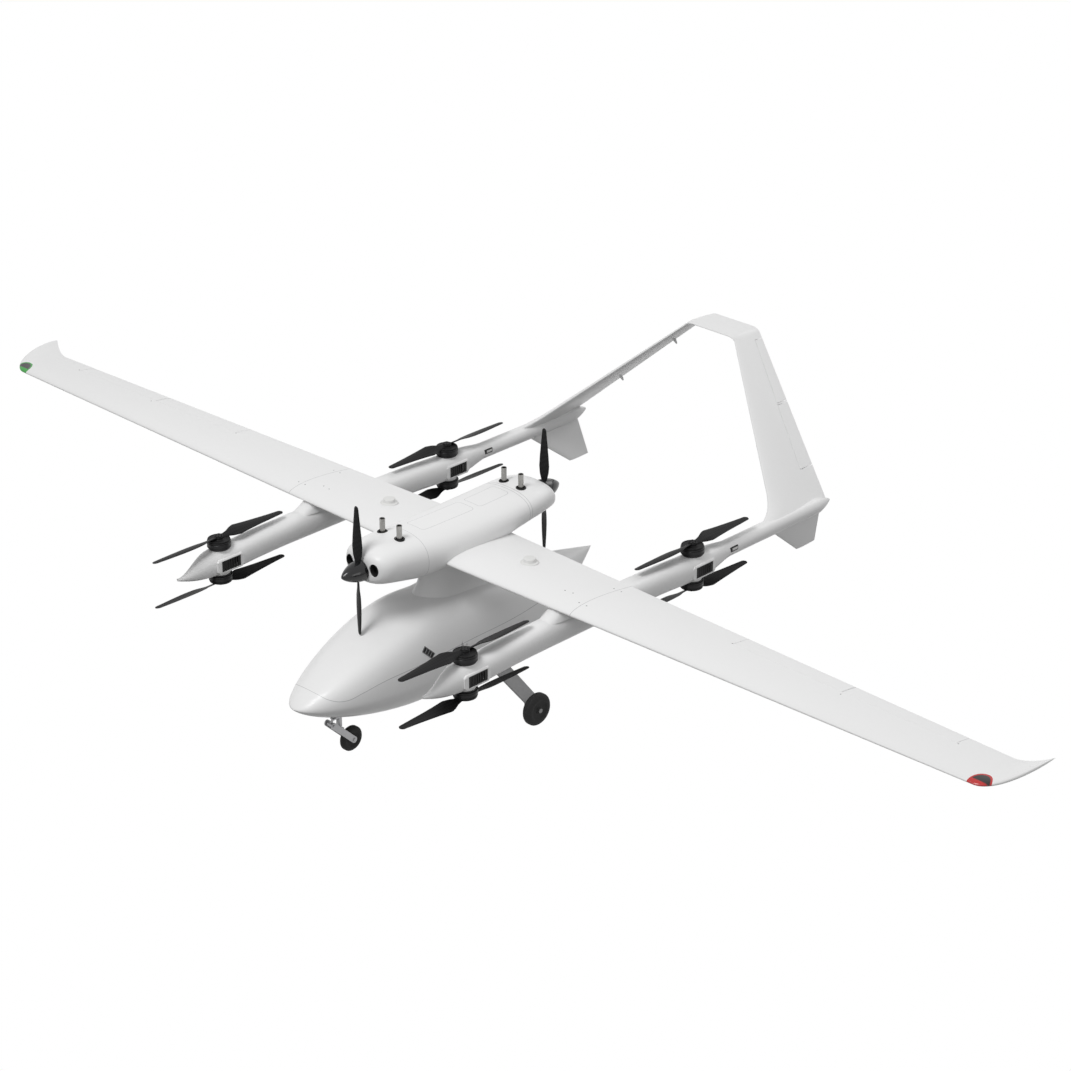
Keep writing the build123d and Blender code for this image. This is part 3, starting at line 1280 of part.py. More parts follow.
arm_run = NOSE_WHEEL_Y - FORK_PIVOT_Y
arm_drop = FORK_PIVOT_Z - NOSE_WHEEL_RADIUS
with BuildPart() as nose_fork:
    for side in SIDES.values():
        with BuildSketch(Plane.YZ.offset(side * (FORK_INNER_X + FORK_PLATE / 2))):
            middle = ((FORK_PIVOT_Y + NOSE_WHEEL_Y) / 2, (FORK_PIVOT_Z + NOSE_WHEEL_RADIUS) / 2)
            with Locations(Location(middle, -math.degrees(math.atan2(arm_drop, arm_run)))):
                SlotCenterToCenter(math.hypot(arm_run, arm_drop), 2 * FORK_HALF_HEIGHT)
        extrude(amount=FORK_PLATE / 2, both=True)
    crown_low = (-FORK_INNER_X, NOSE_GEAR_Y - 11, FORK_CROWN_Z - 12)
    add(block(crown_low, (FORK_INNER_X, NOSE_GEAR_Y + 11, FORK_CROWN_Z + 8)))
    add(rod((0, NOSE_GEAR_Y, FORK_CROWN_Z), (0, NOSE_GEAR_Y, plate_low + 4), NOSE_PLUNGER_RADIUS))
    fork_out = FORK_INNER_X + FORK_PLATE
    for y, z, radius, head in (
        (FORK_PIVOT_Y, FORK_PIVOT_Z, FORK_PIVOT_RADIUS, 6),
        (NOSE_WHEEL_Y, NOSE_WHEEL_RADIUS, NOSE_AXLE_RADIUS, 9),
    ):
        add(rod((-fork_out - 4, y, z), (fork_out + 4, y, z), radius))
        for side in SIDES.values():
            add(rod((side * fork_out, y, z), (side * (fork_out + 4), y, z), head))
save(nose_fork, "nose_fork")

# ---------------------------------------------------------------- equipment inside
floor_top = floor_z + FLOOR_THICKNESS
with BuildPart() as fuel_tank:
    add(block((-150, -90, floor_top), (150, 210, floor_top + 180)))
    fillet(fuel_tank.edges().filter_by(Axis.Z), 30)
save(fuel_tank, "fuel_tank")

with BuildPart() as lift_batteries:
    for side in SIDES.values():
        near, far = side * 12, side * 120
        add(block((min(near, far), -430, floor_top), (max(near, far), -240, floor_top + 110)))
    fillet(lift_batteries.edges().filter_by(Axis.Z), 8)
save(lift_batteries, "lift_batteries")

with BuildPart() as avionics:
    add(block((-70, -600, floor_top), (70, -480, floor_top + 40)))
    for side in SIDES.values():
        near, far = side * 90, side * 130
        add(block((min(near, far), -560, floor_top), (max(near, far), -480, floor_top + 25)))
save(avionics, "avionics")
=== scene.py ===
import json
import math

import bmesh
import bpy
import numpy as np
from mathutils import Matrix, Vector
from mathutils.bvhtree import BVHTree


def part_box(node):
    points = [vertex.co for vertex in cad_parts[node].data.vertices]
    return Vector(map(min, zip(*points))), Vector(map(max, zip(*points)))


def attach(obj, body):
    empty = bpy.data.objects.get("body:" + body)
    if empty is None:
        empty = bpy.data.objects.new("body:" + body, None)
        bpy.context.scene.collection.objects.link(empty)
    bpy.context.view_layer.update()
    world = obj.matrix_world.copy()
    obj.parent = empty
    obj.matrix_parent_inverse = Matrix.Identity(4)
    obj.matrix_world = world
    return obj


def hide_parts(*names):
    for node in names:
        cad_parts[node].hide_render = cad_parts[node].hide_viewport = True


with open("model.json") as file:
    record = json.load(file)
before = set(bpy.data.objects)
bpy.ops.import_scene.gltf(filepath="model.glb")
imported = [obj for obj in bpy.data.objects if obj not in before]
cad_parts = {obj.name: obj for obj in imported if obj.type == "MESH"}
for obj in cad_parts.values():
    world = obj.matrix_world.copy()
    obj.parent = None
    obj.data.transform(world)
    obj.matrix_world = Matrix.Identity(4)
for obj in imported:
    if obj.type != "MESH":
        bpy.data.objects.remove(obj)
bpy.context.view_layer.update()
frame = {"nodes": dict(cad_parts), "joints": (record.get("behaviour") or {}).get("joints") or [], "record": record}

SIDES = {"left": 1, "right": -1}
ENDS = {"front": -1, "rear": 1}


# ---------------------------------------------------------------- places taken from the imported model
def low(node):
    """Lowest corner of a node as an array."""
    return np.array(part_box(node)[0])


def high(node):
    """Highest corner of a node as an array."""
    return np.array(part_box(node)[1])


def middle(node):
    """Middle of a node's box as an array."""
    return (low(node) + high(node)) / 2


def tree_of(*nodes):
    """Ray-casting tree over some nodes' triangles."""
    points, faces, start = [], [], 0
    for node in nodes:
        mesh = frame["nodes"][node].data
        corners = np.empty(3 * len(mesh.vertices))
        mesh.vertices.foreach_get("co", corners)
        mesh.calc_loop_triangles()
        triangles = np.empty(3 * len(mesh.loop_triangles), np.int32)
        mesh.loop_triangles.foreach_get("vertices", triangles)
        points.append(corners.reshape(-1, 3))
        faces.append(triangles.reshape(-1, 3) + start)
        start += len(mesh.vertices)
    return BVHTree.FromPolygons(np.concatenate(points).tolist(), np.concatenate(faces).tolist())


def joint(name):
    """A joint of the record by name."""
    return next(j for j in frame["joints"] if j["name"] == name)


# ---------------------------------------------------------------- shader helpers
class Nodes:
    """Short hand for building a node tree."""

    def __init__(self, tree):
        self.tree = tree

    def new(self, kind, **settings):
        """New node with its settings."""
        node = self.tree.nodes.new(kind)
        for key, value in settings.items():
            setattr(node, key, value)
        return node

    def feed(self, socket, value):
        """Links a socket, or sets it to a plain value."""
        if isinstance(value, bpy.types.NodeSocket):
            self.tree.links.new(value, socket)
        elif value is not None:
            socket.default_value = value

    def math(self, operation, *values, clamp=False):
        """Result of a math node."""
        node = self.new("ShaderNodeMath", operation=operation, use_clamp=clamp)
        for socket, value in zip(node.inputs, values):
            self.feed(socket, value)
        return node.outputs[0]

    def ramp(self, value, start, end, from_value=0.0, to_value=1.0):
        """Value carried smoothly from one range to another and held past its ends."""
        node = self.new("ShaderNodeMapRange", interpolation_type="SMOOTHSTEP")
        for socket, item in zip(node.inputs, (value, start, end, from_value, to_value)):
            self.feed(socket, item)
        return node.outputs[0]

    def mix(self, share, first, second):
        """Colour between two colours."""
        node = self.new("ShaderNodeMix", data_type="RGBA")
        self.feed(node.inputs[0], share)
        self.feed(node.inputs[6], first)
        self.feed(node.inputs[7], second)
        return node.outputs[2]

    def length(self, first, second):
        """Length of a vector of two parts: sqrt(first * first + second * second)."""
        squares = [self.math("MULTIPLY", part, part) for part in (first, second)]
        return self.math("SQRT", self.math("ADD", *squares))

    def noise(self, place, scale, detail, roughness):
        """Noise value over a place."""
        node = self.new("ShaderNodeTexNoise")
        self.feed(node.inputs["Vector"], place)
        self.feed(node.inputs["Scale"], scale)
        node.inputs["Detail"].default_value = detail
        node.inputs["Roughness"].default_value = roughness
        return node.outputs["Fac"]

    def bump(self, height, strength, distance):
        """Normal disturbed by a height."""
        node = self.new("ShaderNodeBump")
        self.feed(node.inputs["Height"], height)
        self.feed(node.inputs["Strength"], strength)
        node.inputs["Distance"].default_value = distance
        return node.outputs["Normal"]

    def axes(self, place):
        """The three parts of a vector."""
        node = self.new("ShaderNodeSeparateXYZ")
        self.feed(node.inputs[0], place)
        return node.outputs

    def group(self, tree, **values):
        """A node group with its inputs set; underscores in the names stand for spaces."""
        node = self.new("ShaderNodeGroup", node_tree=tree)
        for key, value in values.items():
            self.feed(node.inputs[key.replace("_", " ")], value)
        return node.outputs


def new_group(name, inputs, outputs):
    """Empty node group with float or vector sockets: (name, kind, default)."""
    tree = bpy.data.node_groups.new(name, "ShaderNodeTree")
    for title, kind, default in inputs:
        socket = tree.interface.new_socket(title, in_out="INPUT", socket_type=f"NodeSocket{kind}")
        if default is not None:
            socket.default_value = default
    for title, kind in outputs:
        tree.interface.new_socket(title, in_out="OUTPUT", socket_type=f"NodeSocket{kind}")
    nodes = Nodes(tree)
    return tree, nodes, nodes.new("NodeGroupInput").outputs, nodes.new("NodeGroupOutput").inputs


paint = {}  # each material by the record's slot


def material(slot, base, roughness, metallic=0.0, coat=0.0, specular=0.5):
    """Adds a material with a Principled shader to the paint and returns what is needed to detail it."""
    made = bpy.data.materials.new(slot)
    made.use_nodes = True
    nodes = Nodes(made.node_tree)
    shader = made.node_tree.nodes["Principled BSDF"]
    shader.inputs["Base Color"].default_value = (*base, 1)
    shader.inputs["Roughness"].default_value = roughness
    shader.inputs["Metallic"].default_value = metallic
    shader.inputs["Coat Weight"].default_value = coat
    shader.inputs["Coat Roughness"].default_value = 0.08
    shader.inputs["Specular IOR Level"].default_value = specular
    place = nodes.new("ShaderNodeTexCoord").outputs["Object"]
    made.diffuse_color = (*base, 1)
    paint[slot] = made
    return nodes, shader, place


# ---------------------------------------------------------------- shared effects
surface_group, n, given, out = new_group(
    "fine_surface",
    [
        ("Place", "Vector", None),
        ("Colour", "Color", None),
        ("Roughness", "Float", 0.4),
        ("Scale", "Float", 40.0),
        ("Tone", "Float", 0.03),
        ("Gloss Change", "Float", 0.06),
    ],
    [("Colour", "Color"), ("Roughness", "Float"), ("Height", "Float")],
)
grain = n.noise(given["Place"], given["Scale"], 5.0, 0.5)
cloud = n.noise(given["Place"], 3.1, 3.0, 0.55)
spread = n.math("SUBTRACT", n.math("ADD", grain, cloud), 1.0)
shade = n.math("ADD", 1.0, n.math("MULTIPLY", spread, given["Tone"]))
tinted = n.new("ShaderNodeVectorMath", operation="SCALE")
n.feed(tinted.inputs[0], given["Colour"])
n.feed(tinted.inputs["Scale"], shade)
n.feed(out["Colour"], tinted.outputs[0])
n.feed(out["Roughness"], n.math("ADD", given["Roughness"], n.math("MULTIPLY", spread, given["Gloss Change"])))
n.feed(out["Height"], grain)

seam_group, n, given, out = new_group(
    "seam_line",
    [("Distance", "Float", 1.0), ("Half Width", "Float", 0.0008), ("Region", "Float", 1.0)],
    [("Mask", "Float")],
)
away = n.math("ABSOLUTE", given["Distance"])
edge = n.math("MULTIPLY", given["Half Width"], 1.8)
n.feed(out["Mask"], n.math("MULTIPLY", n.ramp(away, given["Half Width"], edge, 1.0, 0.0), given["Region"]))

weave_group, n, given, out = new_group(
    "carbon_weave",
    [("Place", "Vector", None), ("Scale", "Float", 260.0)],
    [("Tone", "Float")],
)
x, y, z = n.axes(given["Place"])
warp = n.math("SINE", n.math("MULTIPLY", n.math("ADD", x, y), given["Scale"]))
weft = n.math("SINE", n.math("MULTIPLY", n.math("SUBTRACT", n.math("ADD", x, z), y), given["Scale"]))
weave = n.math("MULTIPLY", warp, weft)
n.feed(out["Tone"], n.ramp(weave, -0.6, 0.6, 0.75, 1.25))


def within(nodes, value, start, end):
    """One between two values and nought outside them."""
    return nodes.math(
        "MULTIPLY", nodes.math("GREATER_THAN", value, start), nodes.math("LESS_THAN", value, end)
    )


# ---------------------------------------------------------------- materials
BUMP_STRENGTH = 0.25


def finish_surface(nodes, shader, place, base, roughness, scale, tone, gloss, bump_depth):
    """Adds the shared fine surface to a material and returns its colour socket."""
    made = nodes.group(
        surface_group, Place=place, Colour=(*base, 1), Roughness=roughness, Scale=scale, Tone=tone,
        Gloss_Change=gloss,
    )
    nodes.feed(shader.inputs["Roughness"], made["Roughness"])
    nodes.feed(shader.inputs["Base Color"], made["Colour"])
    nodes.feed(shader.inputs["Normal"], nodes.bump(made["Height"], BUMP_STRENGTH, bump_depth))
    return made["Colour"]


def plain(
    slot, base, roughness, metallic=0.0, coat=0.0, scale=60.0, tone=0.12, gloss=0.12, bump_depth=0.0002,
    specular=0.5,
):
    """Material whose only detail is the shared fine surface."""
    nodes, shader, place = material(slot, base, roughness, metallic, coat, specular)
    finish_surface(nodes, shader, place, base, roughness, scale, tone, gloss, bump_depth)


def carbon(slot, base, roughness):
    """Black laminate whose weave shows faintly."""
    nodes, shader, place = material(slot, base, roughness, specular=0.1)
    colour = finish_surface(nodes, shader, place, base, roughness, 90.0, 0.2, 0.1, 0.0001)
    toned = nodes.new("ShaderNodeVectorMath", operation="SCALE")
    nodes.feed(toned.inputs[0], colour)
    nodes.feed(toned.inputs["Scale"], nodes.group(weave_group, Place=place)["Tone"])
    nodes.feed(shader.inputs["Base Color"], toned.outputs[0])


# White skin and its panel seams. The hatches lie on the nacelle's top, the cowl joints run round the
# nacelle, the wing joints run over the wing and the parting line runs along the fuselage's flanks.
WHITE = (0.8, 0.8, 0.8)
SEAM_COLOUR = (0.34, 0.34, 0.35, 1)
SEAM_SHARE = 0.75
HATCH_CORNER = 0.018
FRONT_HATCH_LENGTH = 0.324
HATCH_GAP = 0.032
HATCH_LOWEST = 0.9
TAIL_CAP_GAP = 0.016  # from the rear cowl's joint to a second one aft of it
NACELLE_REACH, NACELLE_LOWEST = 0.2, 0.7
WING_JOINT_Y, WING_JOINT_Z = (-0.63, -0.15), (0.79, 0.87)
FLANK_REACH, FLANK_HIGHEST = 0.25, 0.6
# Parting line on the side view: distance aft of the cover's front edge and height.
PARTING = (
    (-0.023, 0.434), (0.0, 0.399), (0.027, 0.377), (0.087, 0.363), (0.167, 0.38), (0.267, 0.403),
    (0.387, 0.415), (2.0, 0.415),
)
PARTING_LEAD = 0.1  # from the start of the line's curve to the cover's front edge


def hatch_edge(nodes, side_x, y, start, end):
    """Distance from the edge of a top hatch, a rectangle with round corners: the length of what lies past
    the middles of the corners, less the corner radius."""
    half_width, half_length = high("nacelle_hatches")[0], (end - start) / 2
    past_x = nodes.math("MAXIMUM", nodes.math("SUBTRACT", side_x, half_width - HATCH_CORNER), 0.0)
    along = nodes.math("ABSOLUTE", nodes.math("SUBTRACT", y, (start + end) / 2))
    past_y = nodes.math("MAXIMUM", nodes.math("SUBTRACT", along, half_length - HATCH_CORNER), 0.0)
    return nodes.math("SUBTRACT", nodes.length(past_x, past_y), HATCH_CORNER)


def parting_height(nodes, y):
    """Height of the parting line at a place aft, from a curve through its points."""
    reach = PARTING[-1][0] + PARTING_LEAD
    line = nodes.new("ShaderNodeFloatCurve")
    points = line.mapping.curves[0].points
    for k, (along, height) in enumerate(PARTING):
        spot = ((along + PARTING_LEAD) / reach, height)
        if k < 2:
            points[k].location = spot
        else:
            points.new(*spot)
    line.mapping.update()
    aft = nodes.math("SUBTRACT", y, low("fuselage_cover")[1] - PARTING_LEAD)
    nodes.feed(line.inputs["Value"], nodes.math("DIVIDE", aft, reach))
    return line.outputs[0]


def white_skin(slot):
    """White paint with its panel seams drawn in grey."""
    nodes, shader, place = material(slot, WHITE, 0.42, coat=0.12, specular=0.35)
    colour = finish_surface(nodes, shader, place, WHITE, 0.42, 55.0, 0.02, 0.05, 0.00008)
    x, y, z = nodes.axes(place)
    side_x = nodes.math("ABSOLUTE", x)
    on_top = nodes.math("GREATER_THAN", z, HATCH_LOWEST)
    on_nacelle = nodes.math(
        "MULTIPLY", nodes.math("LESS_THAN", side_x, NACELLE_REACH),
        nodes.math("GREATER_THAN", z, NACELLE_LOWEST),
    )
    on_joint = nodes.math("MULTIPLY", within(nodes, y, *WING_JOINT_Y), within(nodes, z, *WING_JOINT_Z))
    on_flank = nodes.math(
        "MULTIPLY", nodes.math("LESS_THAN", side_x, FLANK_REACH), nodes.math("LESS_THAN", z, FLANK_HIGHEST)
    )
    front, rear = low("nacelle_hatches")[1], high("nacelle_hatches")[1]
    front_end = front + FRONT_HATCH_LENGTH
    shell_front, shell_rear = low("nacelle_shell")[1], high("nacelle_shell")[1]
    wing_joint = high("wing_centre_section")[0]
    seams = [
        (hatch_edge(nodes, side_x, y, front, front_end), 0.0006, on_top),
        (hatch_edge(nodes, side_x, y, front_end + HATCH_GAP, rear), 0.0006, on_top),
        (nodes.math("SUBTRACT", y, shell_front), 0.0007, on_nacelle),
        (nodes.math("SUBTRACT", y, shell_rear), 0.0008, on_nacelle),
        (nodes.math("SUBTRACT", y, shell_rear + TAIL_CAP_GAP), 0.0008, on_nacelle),
        (nodes.math("SUBTRACT", side_x, wing_joint), 0.0009, on_joint),
        (nodes.math("SUBTRACT", z, parting_height(nodes, y)), 0.001, on_flank),
    ]
    total = 0.0
    for distance, half_width, region in seams:
        mask = nodes.group(seam_group, Distance=distance, Half_Width=half_width, Region=region)["Mask"]
        total = nodes.math("MAXIMUM", total, mask)
    lined = nodes.mix(nodes.math("MULTIPLY", total, SEAM_SHARE), colour, SEAM_COLOUR)
    nodes.feed(shader.inputs["Base Color"], lined)


LENS_HALF_LENGTH, LENS_DEPTH = 0.05, 0.072
LAMP_ROOM_COLOUR = (0.012, 0.008, 0.008, 1)


def lens(slot, base, node):
    """Clear coloured cover of a navigation light, dark over its lamp room behind a coloured edge. The room
    is the aft part of an ellipse with the lens's half length and depth."""
    nodes, shader, place = material(slot, base, 0.14, coat=0.4, specular=0.4)
    colour = finish_surface(nodes, shader, place, base, 0.14, 60.0, 0.2, 0.05, 0.0001)
    across, aft, up = nodes.axes(place)
    centre_x = min(abs(low(node)[0]), abs(high(node)[0])) + LENS_HALF_LENGTH
    centre_y, centre_z = high(node)[1] - LENS_DEPTH, middle(node)[2]
    off_x = nodes.math("SUBTRACT", nodes.math("ABSOLUTE", across), centre_x)
    share_x = nodes.math("DIVIDE", off_x, LENS_HALF_LENGTH)
    share_y = nodes.math("DIVIDE", nodes.math("SUBTRACT", aft, centre_y), LENS_DEPTH)
    inside = nodes.ramp(nodes.length(share_x, share_y), 0.82, 0.92, 1.0, 0.0)
    behind = nodes.ramp(share_y, 0.24, 0.34)
    above = nodes.ramp(up, centre_z - 0.001, centre_z + 0.001)
    room = nodes.math("MULTIPLY", nodes.math("MULTIPLY", inside, behind), above)
    nodes.feed(shader.inputs["Base Color"], nodes.mix(room, colour, LAMP_ROOM_COLOUR))


white_skin("white_skin")
carbon("carbon_black", (0.013, 0.013, 0.0135), 0.45)
plain("spinner_black", (0.008, 0.008, 0.009), 0.16, coat=0.25, tone=0.2, gloss=0.03, specular=0.35)
plain("motor_black", (0.022, 0.022, 0.023), 0.32, metallic=0.15, scale=120.0, specular=0.2)
plain("exhaust_steel", (0.36, 0.355, 0.34), 0.3, metallic=1.0, scale=80.0, tone=0.5, gloss=0.2)
plain("engine_alloy", (0.4, 0.4, 0.4), 0.5, metallic=1.0)
lens("red_lens", (0.5, 0.012, 0.012), "nav_light_left")
lens("green_lens", (0.02, 0.33, 0.03), "nav_light_right")
plain("antenna_white", (0.7, 0.7, 0.69), 0.5, scale=140.0, tone=0.04)
plain("vent_black", (0.012, 0.012, 0.012), 0.55, scale=200.0, tone=0.3, specular=0.2)
plain("leg_grey", (0.17, 0.17, 0.172), 0.42, scale=70.0, tone=0.3)
plain("gear_alloy", (0.42, 0.42, 0.43), 0.36, metallic=0.5, scale=150.0, tone=0.25)
plain("pin_steel", (0.16, 0.16, 0.16), 0.36, metallic=0.8, scale=200.0)
plain("tyre_black", (0.02, 0.02, 0.02), 0.7, scale=260.0, tone=0.35, bump_depth=0.0004, specular=0.25)
plain("tank_plastic", (0.7, 0.7, 0.66), 0.5)
plain("battery_plastic", (0.05, 0.07, 0.15), 0.45)
plain("avionics_plastic", (0.03, 0.03, 0.032), 0.5)

for entry in frame["record"]["subparts"]:
    node = frame["nodes"][entry["node"]]
    node.data.materials.clear()
    node.data.materials.append(paint[entry["material_slot"]])


# ---------------------------------------------------------------- surfaces
POLE_RADIUS = 1e-5  # stands for nought until the poles are merged
MERGE_DISTANCE = 3e-5


def ring_faces(rows, columns, round_again):
    """Quads between neighbouring rings of points, closed round each ring, and from the last ring back
    to the first if the surface runs round again."""
    ring = np.arange(rows if round_again else rows - 1)[:, None]
    point = np.arange(columns)
    here, there = ring * columns, (ring + 1) % rows * columns
    beside = (point + 1) % columns
    return np.stack([here + point, here + beside, there + beside, there + point], -1).reshape(-1, 4)


def enclosed(points, faces):
    """Six times the volume inside some quads: the sum of a . (b x c) over their two triangles."""
    a, b, c, d = (points[faces[:, k]] for k in range(4))
    return float((a * (np.cross(b, c) + np.cross(c, d))).sum())


def cap_volume(ring):
    """Six times the volume between a ring of points and the origin."""
    return float((ring[0] * np.cross(ring[1:-1], ring[2:])).sum())


def closed_skin(skin):
    """Points and outward faces of a surface given as an array of rings of points. A surface whose last
    ring lies on its first runs round again, and any other is capped at both ends."""
    round_again = np.allclose(skin[0], skin[-1])
    skin = skin[:-1] if round_again else skin
    rows, columns = skin.shape[:2]
    corners = skin.reshape(-1, 3)
    quads = ring_faces(rows, columns, round_again)
    centred = corners - corners.mean(axis=0)
    volume = enclosed(centred, quads)
    faces = quads.tolist()
    if not round_again:
        for cap in (list(range(columns))[::-1], list(range((rows - 1) * columns, rows * columns))):
            volume += cap_volume(centred[cap])
            faces.append(cap)
    way = -1 if volume < 0 else 1
    return corners, [face[::way] for face in faces]


def piece(name, skins, body, slot, sharp=0.7, replaces=()):
    """One mesh of closed surfaces, whose rings shrunk to a pole are merged into one point."""
    points, faces, start = [], [], 0
    for skin in skins:
        corners, skin_faces = closed_skin(skin)
        points.append(corners)
        faces += [[start + i for i in face] for face in skin_faces]
        start += len(corners)
    mesh = bpy.data.meshes.new(name)
    mesh.from_pydata(np.concatenate(points).tolist(), [], faces)
    work = bmesh.new()
    work.from_mesh(mesh)
    bmesh.ops.remove_doubles(work, verts=work.verts, dist=MERGE_DISTANCE)
    work.to_mesh(mesh)
    work.free()
    mesh.shade_smooth()
    mesh.set_sharp_from_angle(angle=sharp)
    mesh.materials.append(paint[slot])
    made = bpy.data.objects.new(name, mesh)
    bpy.context.scene.collection.objects.link(made)
    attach(made, body)
    if replaces:
        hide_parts(*replaces)


def frame_of(axis):
    """An axis as a unit vector, and two unit vectors square to it and to each other."""
    axis = np.array(axis, float) / np.linalg.norm(axis)
    other = np.array((1.0, 0, 0)) if abs(axis[0]) < 0.9 else np.array((0, 1.0, 0))
    first = np.cross(axis, other)
    first /= np.linalg.norm(first)
    return axis, first, np.cross(axis, first)


def turned(profile, centre, axis, steps=48):
    """Surface of revolution: each pair gives a distance along the axis and a radius, and a point is
    centre + along * axis + radius * (first * cos turn + second * sin turn)."""
    axis, first, second = frame_of(axis)
    turn = np.linspace(0, 2 * math.pi, steps, endpoint=False)[:, None]
    around = np.cos(turn) * first + np.sin(turn) * second
    along, radius = np.array(profile, float).T[:, :, None, None]
    return np.array(centre) + along * axis + np.maximum(radius, POLE_RADIUS) * around


def hoop(centre, axis, radius, thickness, steps=48, sides=12):
    """Ring of round section: centre + out * (radius + thickness * cos spin) + axis * thickness * sin spin,
    where out turns once round the axis."""
    axis, first, second = frame_of(axis)
    turn = np.linspace(0, 2 * math.pi, steps + 1)[:, None]
    out = (np.cos(turn) * first + np.sin(turn) * second)[:, None]
    spin = np.linspace(0, 2 * math.pi, sides, endpoint=False)[:, None]
    return np.array(centre) + out * (radius + thickness * np.cos(spin)) + axis * thickness * np.sin(spin)


def slab(corners, direction, depth, edge=0.0):
    """Flat plate over an outline, with its far edge drawn in by a bevel."""
    outline = np.array(corners, float)
    direction = np.array(direction, float)
    if not edge:
        return np.array([outline, outline + direction * depth])
    centre = outline.mean(axis=0)
    shrink = 1 - edge / np.linalg.norm(outline - centre, axis=1).mean()
    drawn_in = centre + (outline - centre) * shrink
    return np.array([outline, outline + direction * (depth - edge), drawn_in + direction * depth])


def rectangle(half_u, half_w):
    """Corners of a rectangle about its middle, in order round it."""
    return ((-half_u, -half_w), (half_u, -half_w), (half_u, half_w), (-half_u, half_w))


def directions(count, start=0.0):
    """Unit vectors spread evenly round the vertical from a starting angle."""
    turn = start + 2 * math.pi * np.arange(count) / count
    return np.stack([np.cos(turn), np.sin(turn), np.zeros(count)], 1)


# ---------------------------------------------------------------- propellers
# Share of the radius, chord, thickness and how far the chord leads the blade's axis.
LIFT_ROWS = (
    (0.045, 0.024, 0.0085, 0.0), (0.09, 0.026, 0.0085, 0.0), (0.15, 0.036, 0.0085, 0.001),
    (0.22, 0.056, 0.0075, 0.003), (0.29, 0.071, 0.0065, 0.004), (0.4, 0.065, 0.0055, 0.004),
    (0.6, 0.053, 0.0045, 0.003), (0.8, 0.041, 0.0035, 0.001), (1.0, 0.029, 0.0025, 0.0),
)
ENGINE_ROWS = (
    (0.07, 0.022, 0.0095, 0.0), (0.15, 0.027, 0.0085, 0.0), (0.26, 0.042, 0.0075, 0.0),
    (0.38, 0.05, 0.0068, 0.0), (0.55, 0.046, 0.0055, 0.0), (0.75, 0.036, 0.0042, 0.0),
    (0.93, 0.025, 0.003, 0.0), (1.0, 0.021, 0.0024, 0.0),
)
LIFT_PITCH, ENGINE_PITCH = 0.25, 0.28
TIP_START = 0.96
STEEPEST = math.radians(28)
ARCH = 0.035


def blade(root, reach, up, radius, rows, pitch, hand):
    """Twisted blade. At each share of the radius its section is an oval of the rows' chord and thickness,
    fuller ahead, arched by a share of the chord and turned by the pitch angle, which is
    arctan(pitch / (2 pi share radius)) up to the steepest. Past the tip's start the chord closes as a
    circle does."""
    reach, up, root = (np.array(v, float) for v in (reach, up, root))
    across = np.cross(up, reach)
    table = np.array(rows)
    tip_steps = np.linspace(0, 1, 12)[1:]
    straight = np.linspace(table[0, 0], TIP_START, 44)
    shares = np.concatenate([straight, 1 - (1 - TIP_START) * (1 - tip_steps) ** 2])
    chord, thickness, lead = (np.interp(shares, table[:, 0], table[:, k])[:, None] for k in (1, 2, 3))
    past = np.clip(shares - TIP_START, 0, None)[:, None] / (1 - TIP_START)
    chord = chord * np.sqrt(np.clip(1 - past**2, 0.015, 1))
    angle = np.minimum(np.arctan2(pitch, 2 * math.pi * shares * radius), STEEPEST)[:, None]
    chordwise = np.cos(angle) * across + np.sin(angle) * up * hand
    normal = np.cos(angle) * up - np.sin(angle) * across * hand
    turn = np.linspace(0, 2 * math.pi, 28, endpoint=False)
    along = 0.5 * np.cos(turn)
    half = 0.5 * np.sin(turn) * (0.82 + 0.36 * along * hand)
    camber = ARCH * (1 - 4 * along**2)
    run = along * chord + lead * hand
    rise = half * thickness + camber * chord
    line = root + shares[:, None] * radius * reach
    return line[:, None] + run[..., None] * chordwise[:, None] + rise[..., None] * normal[:, None]


# Turned outlines of a lift rotor: distance along the shaft from the propeller's middle, or from the
# motor's pad for the bell, and radius.
HUB_OUTLINE = (
    (-0.0115, 0.0), (-0.0115, 0.0505), (-0.011, 0.0515), (-0.0065, 0.0515), (-0.006, 0.0505),
    (-0.006, 0.047), (-0.0075, 0.046), (-0.0075, 0.024), (-0.005, 0.0215), (0.004, 0.0215),
    (0.0055, 0.020), (0.006, 0.019), (0.0095, 0.019), (0.010, 0.0185), (0.010, 0.0),
)
BOLT_OUTLINE = (
    (0.009, 0.0), (0.009, 0.0026), (0.0125, 0.0026), (0.0128, 0.0022), (0.0128, 0.0012), (0.0115, 0.0012),
    (0.0115, 0.0),
)
BELL_OUTLINE = (
    (0.033, 0.0), (0.033, 0.050), (0.0075, 0.050), (0.0075, 0.0545), (0.008, 0.055), (0.012, 0.055),
    (0.0125, 0.0535), (0.015, 0.0535), (0.0155, 0.055), (0.0285, 0.055), (0.0295, 0.0540),
    (0.0295, 0.0515), (0.0325, 0.0515), (0.0332, 0.0540), (0.0360, 0.0540), (0.0368, 0.0530),
    (0.0372, 0.0515), (0.0372, 0.0475), (0.0350, 0.0465), (0.0350, 0.020), (0.0365, 0.0175),
    (0.0380, 0.0160), (0.0390, 0.0160), (0.0390, 0.0),
)
MOTOR_STACK = 0.05  # motor pad to the propeller's middle
BOLT_CIRCLE, BOLTS = 0.0125, 4
RIBS, RIB_HEIGHT, RIB_EDGE = 10, 0.0038, 0.0006
RIB_FOOT = 0.034
# Ends of a rib: distance from the shaft and half its width.
RIB_IN, RIB_OUT = (0.018, 0.002), (0.045, 0.0026)


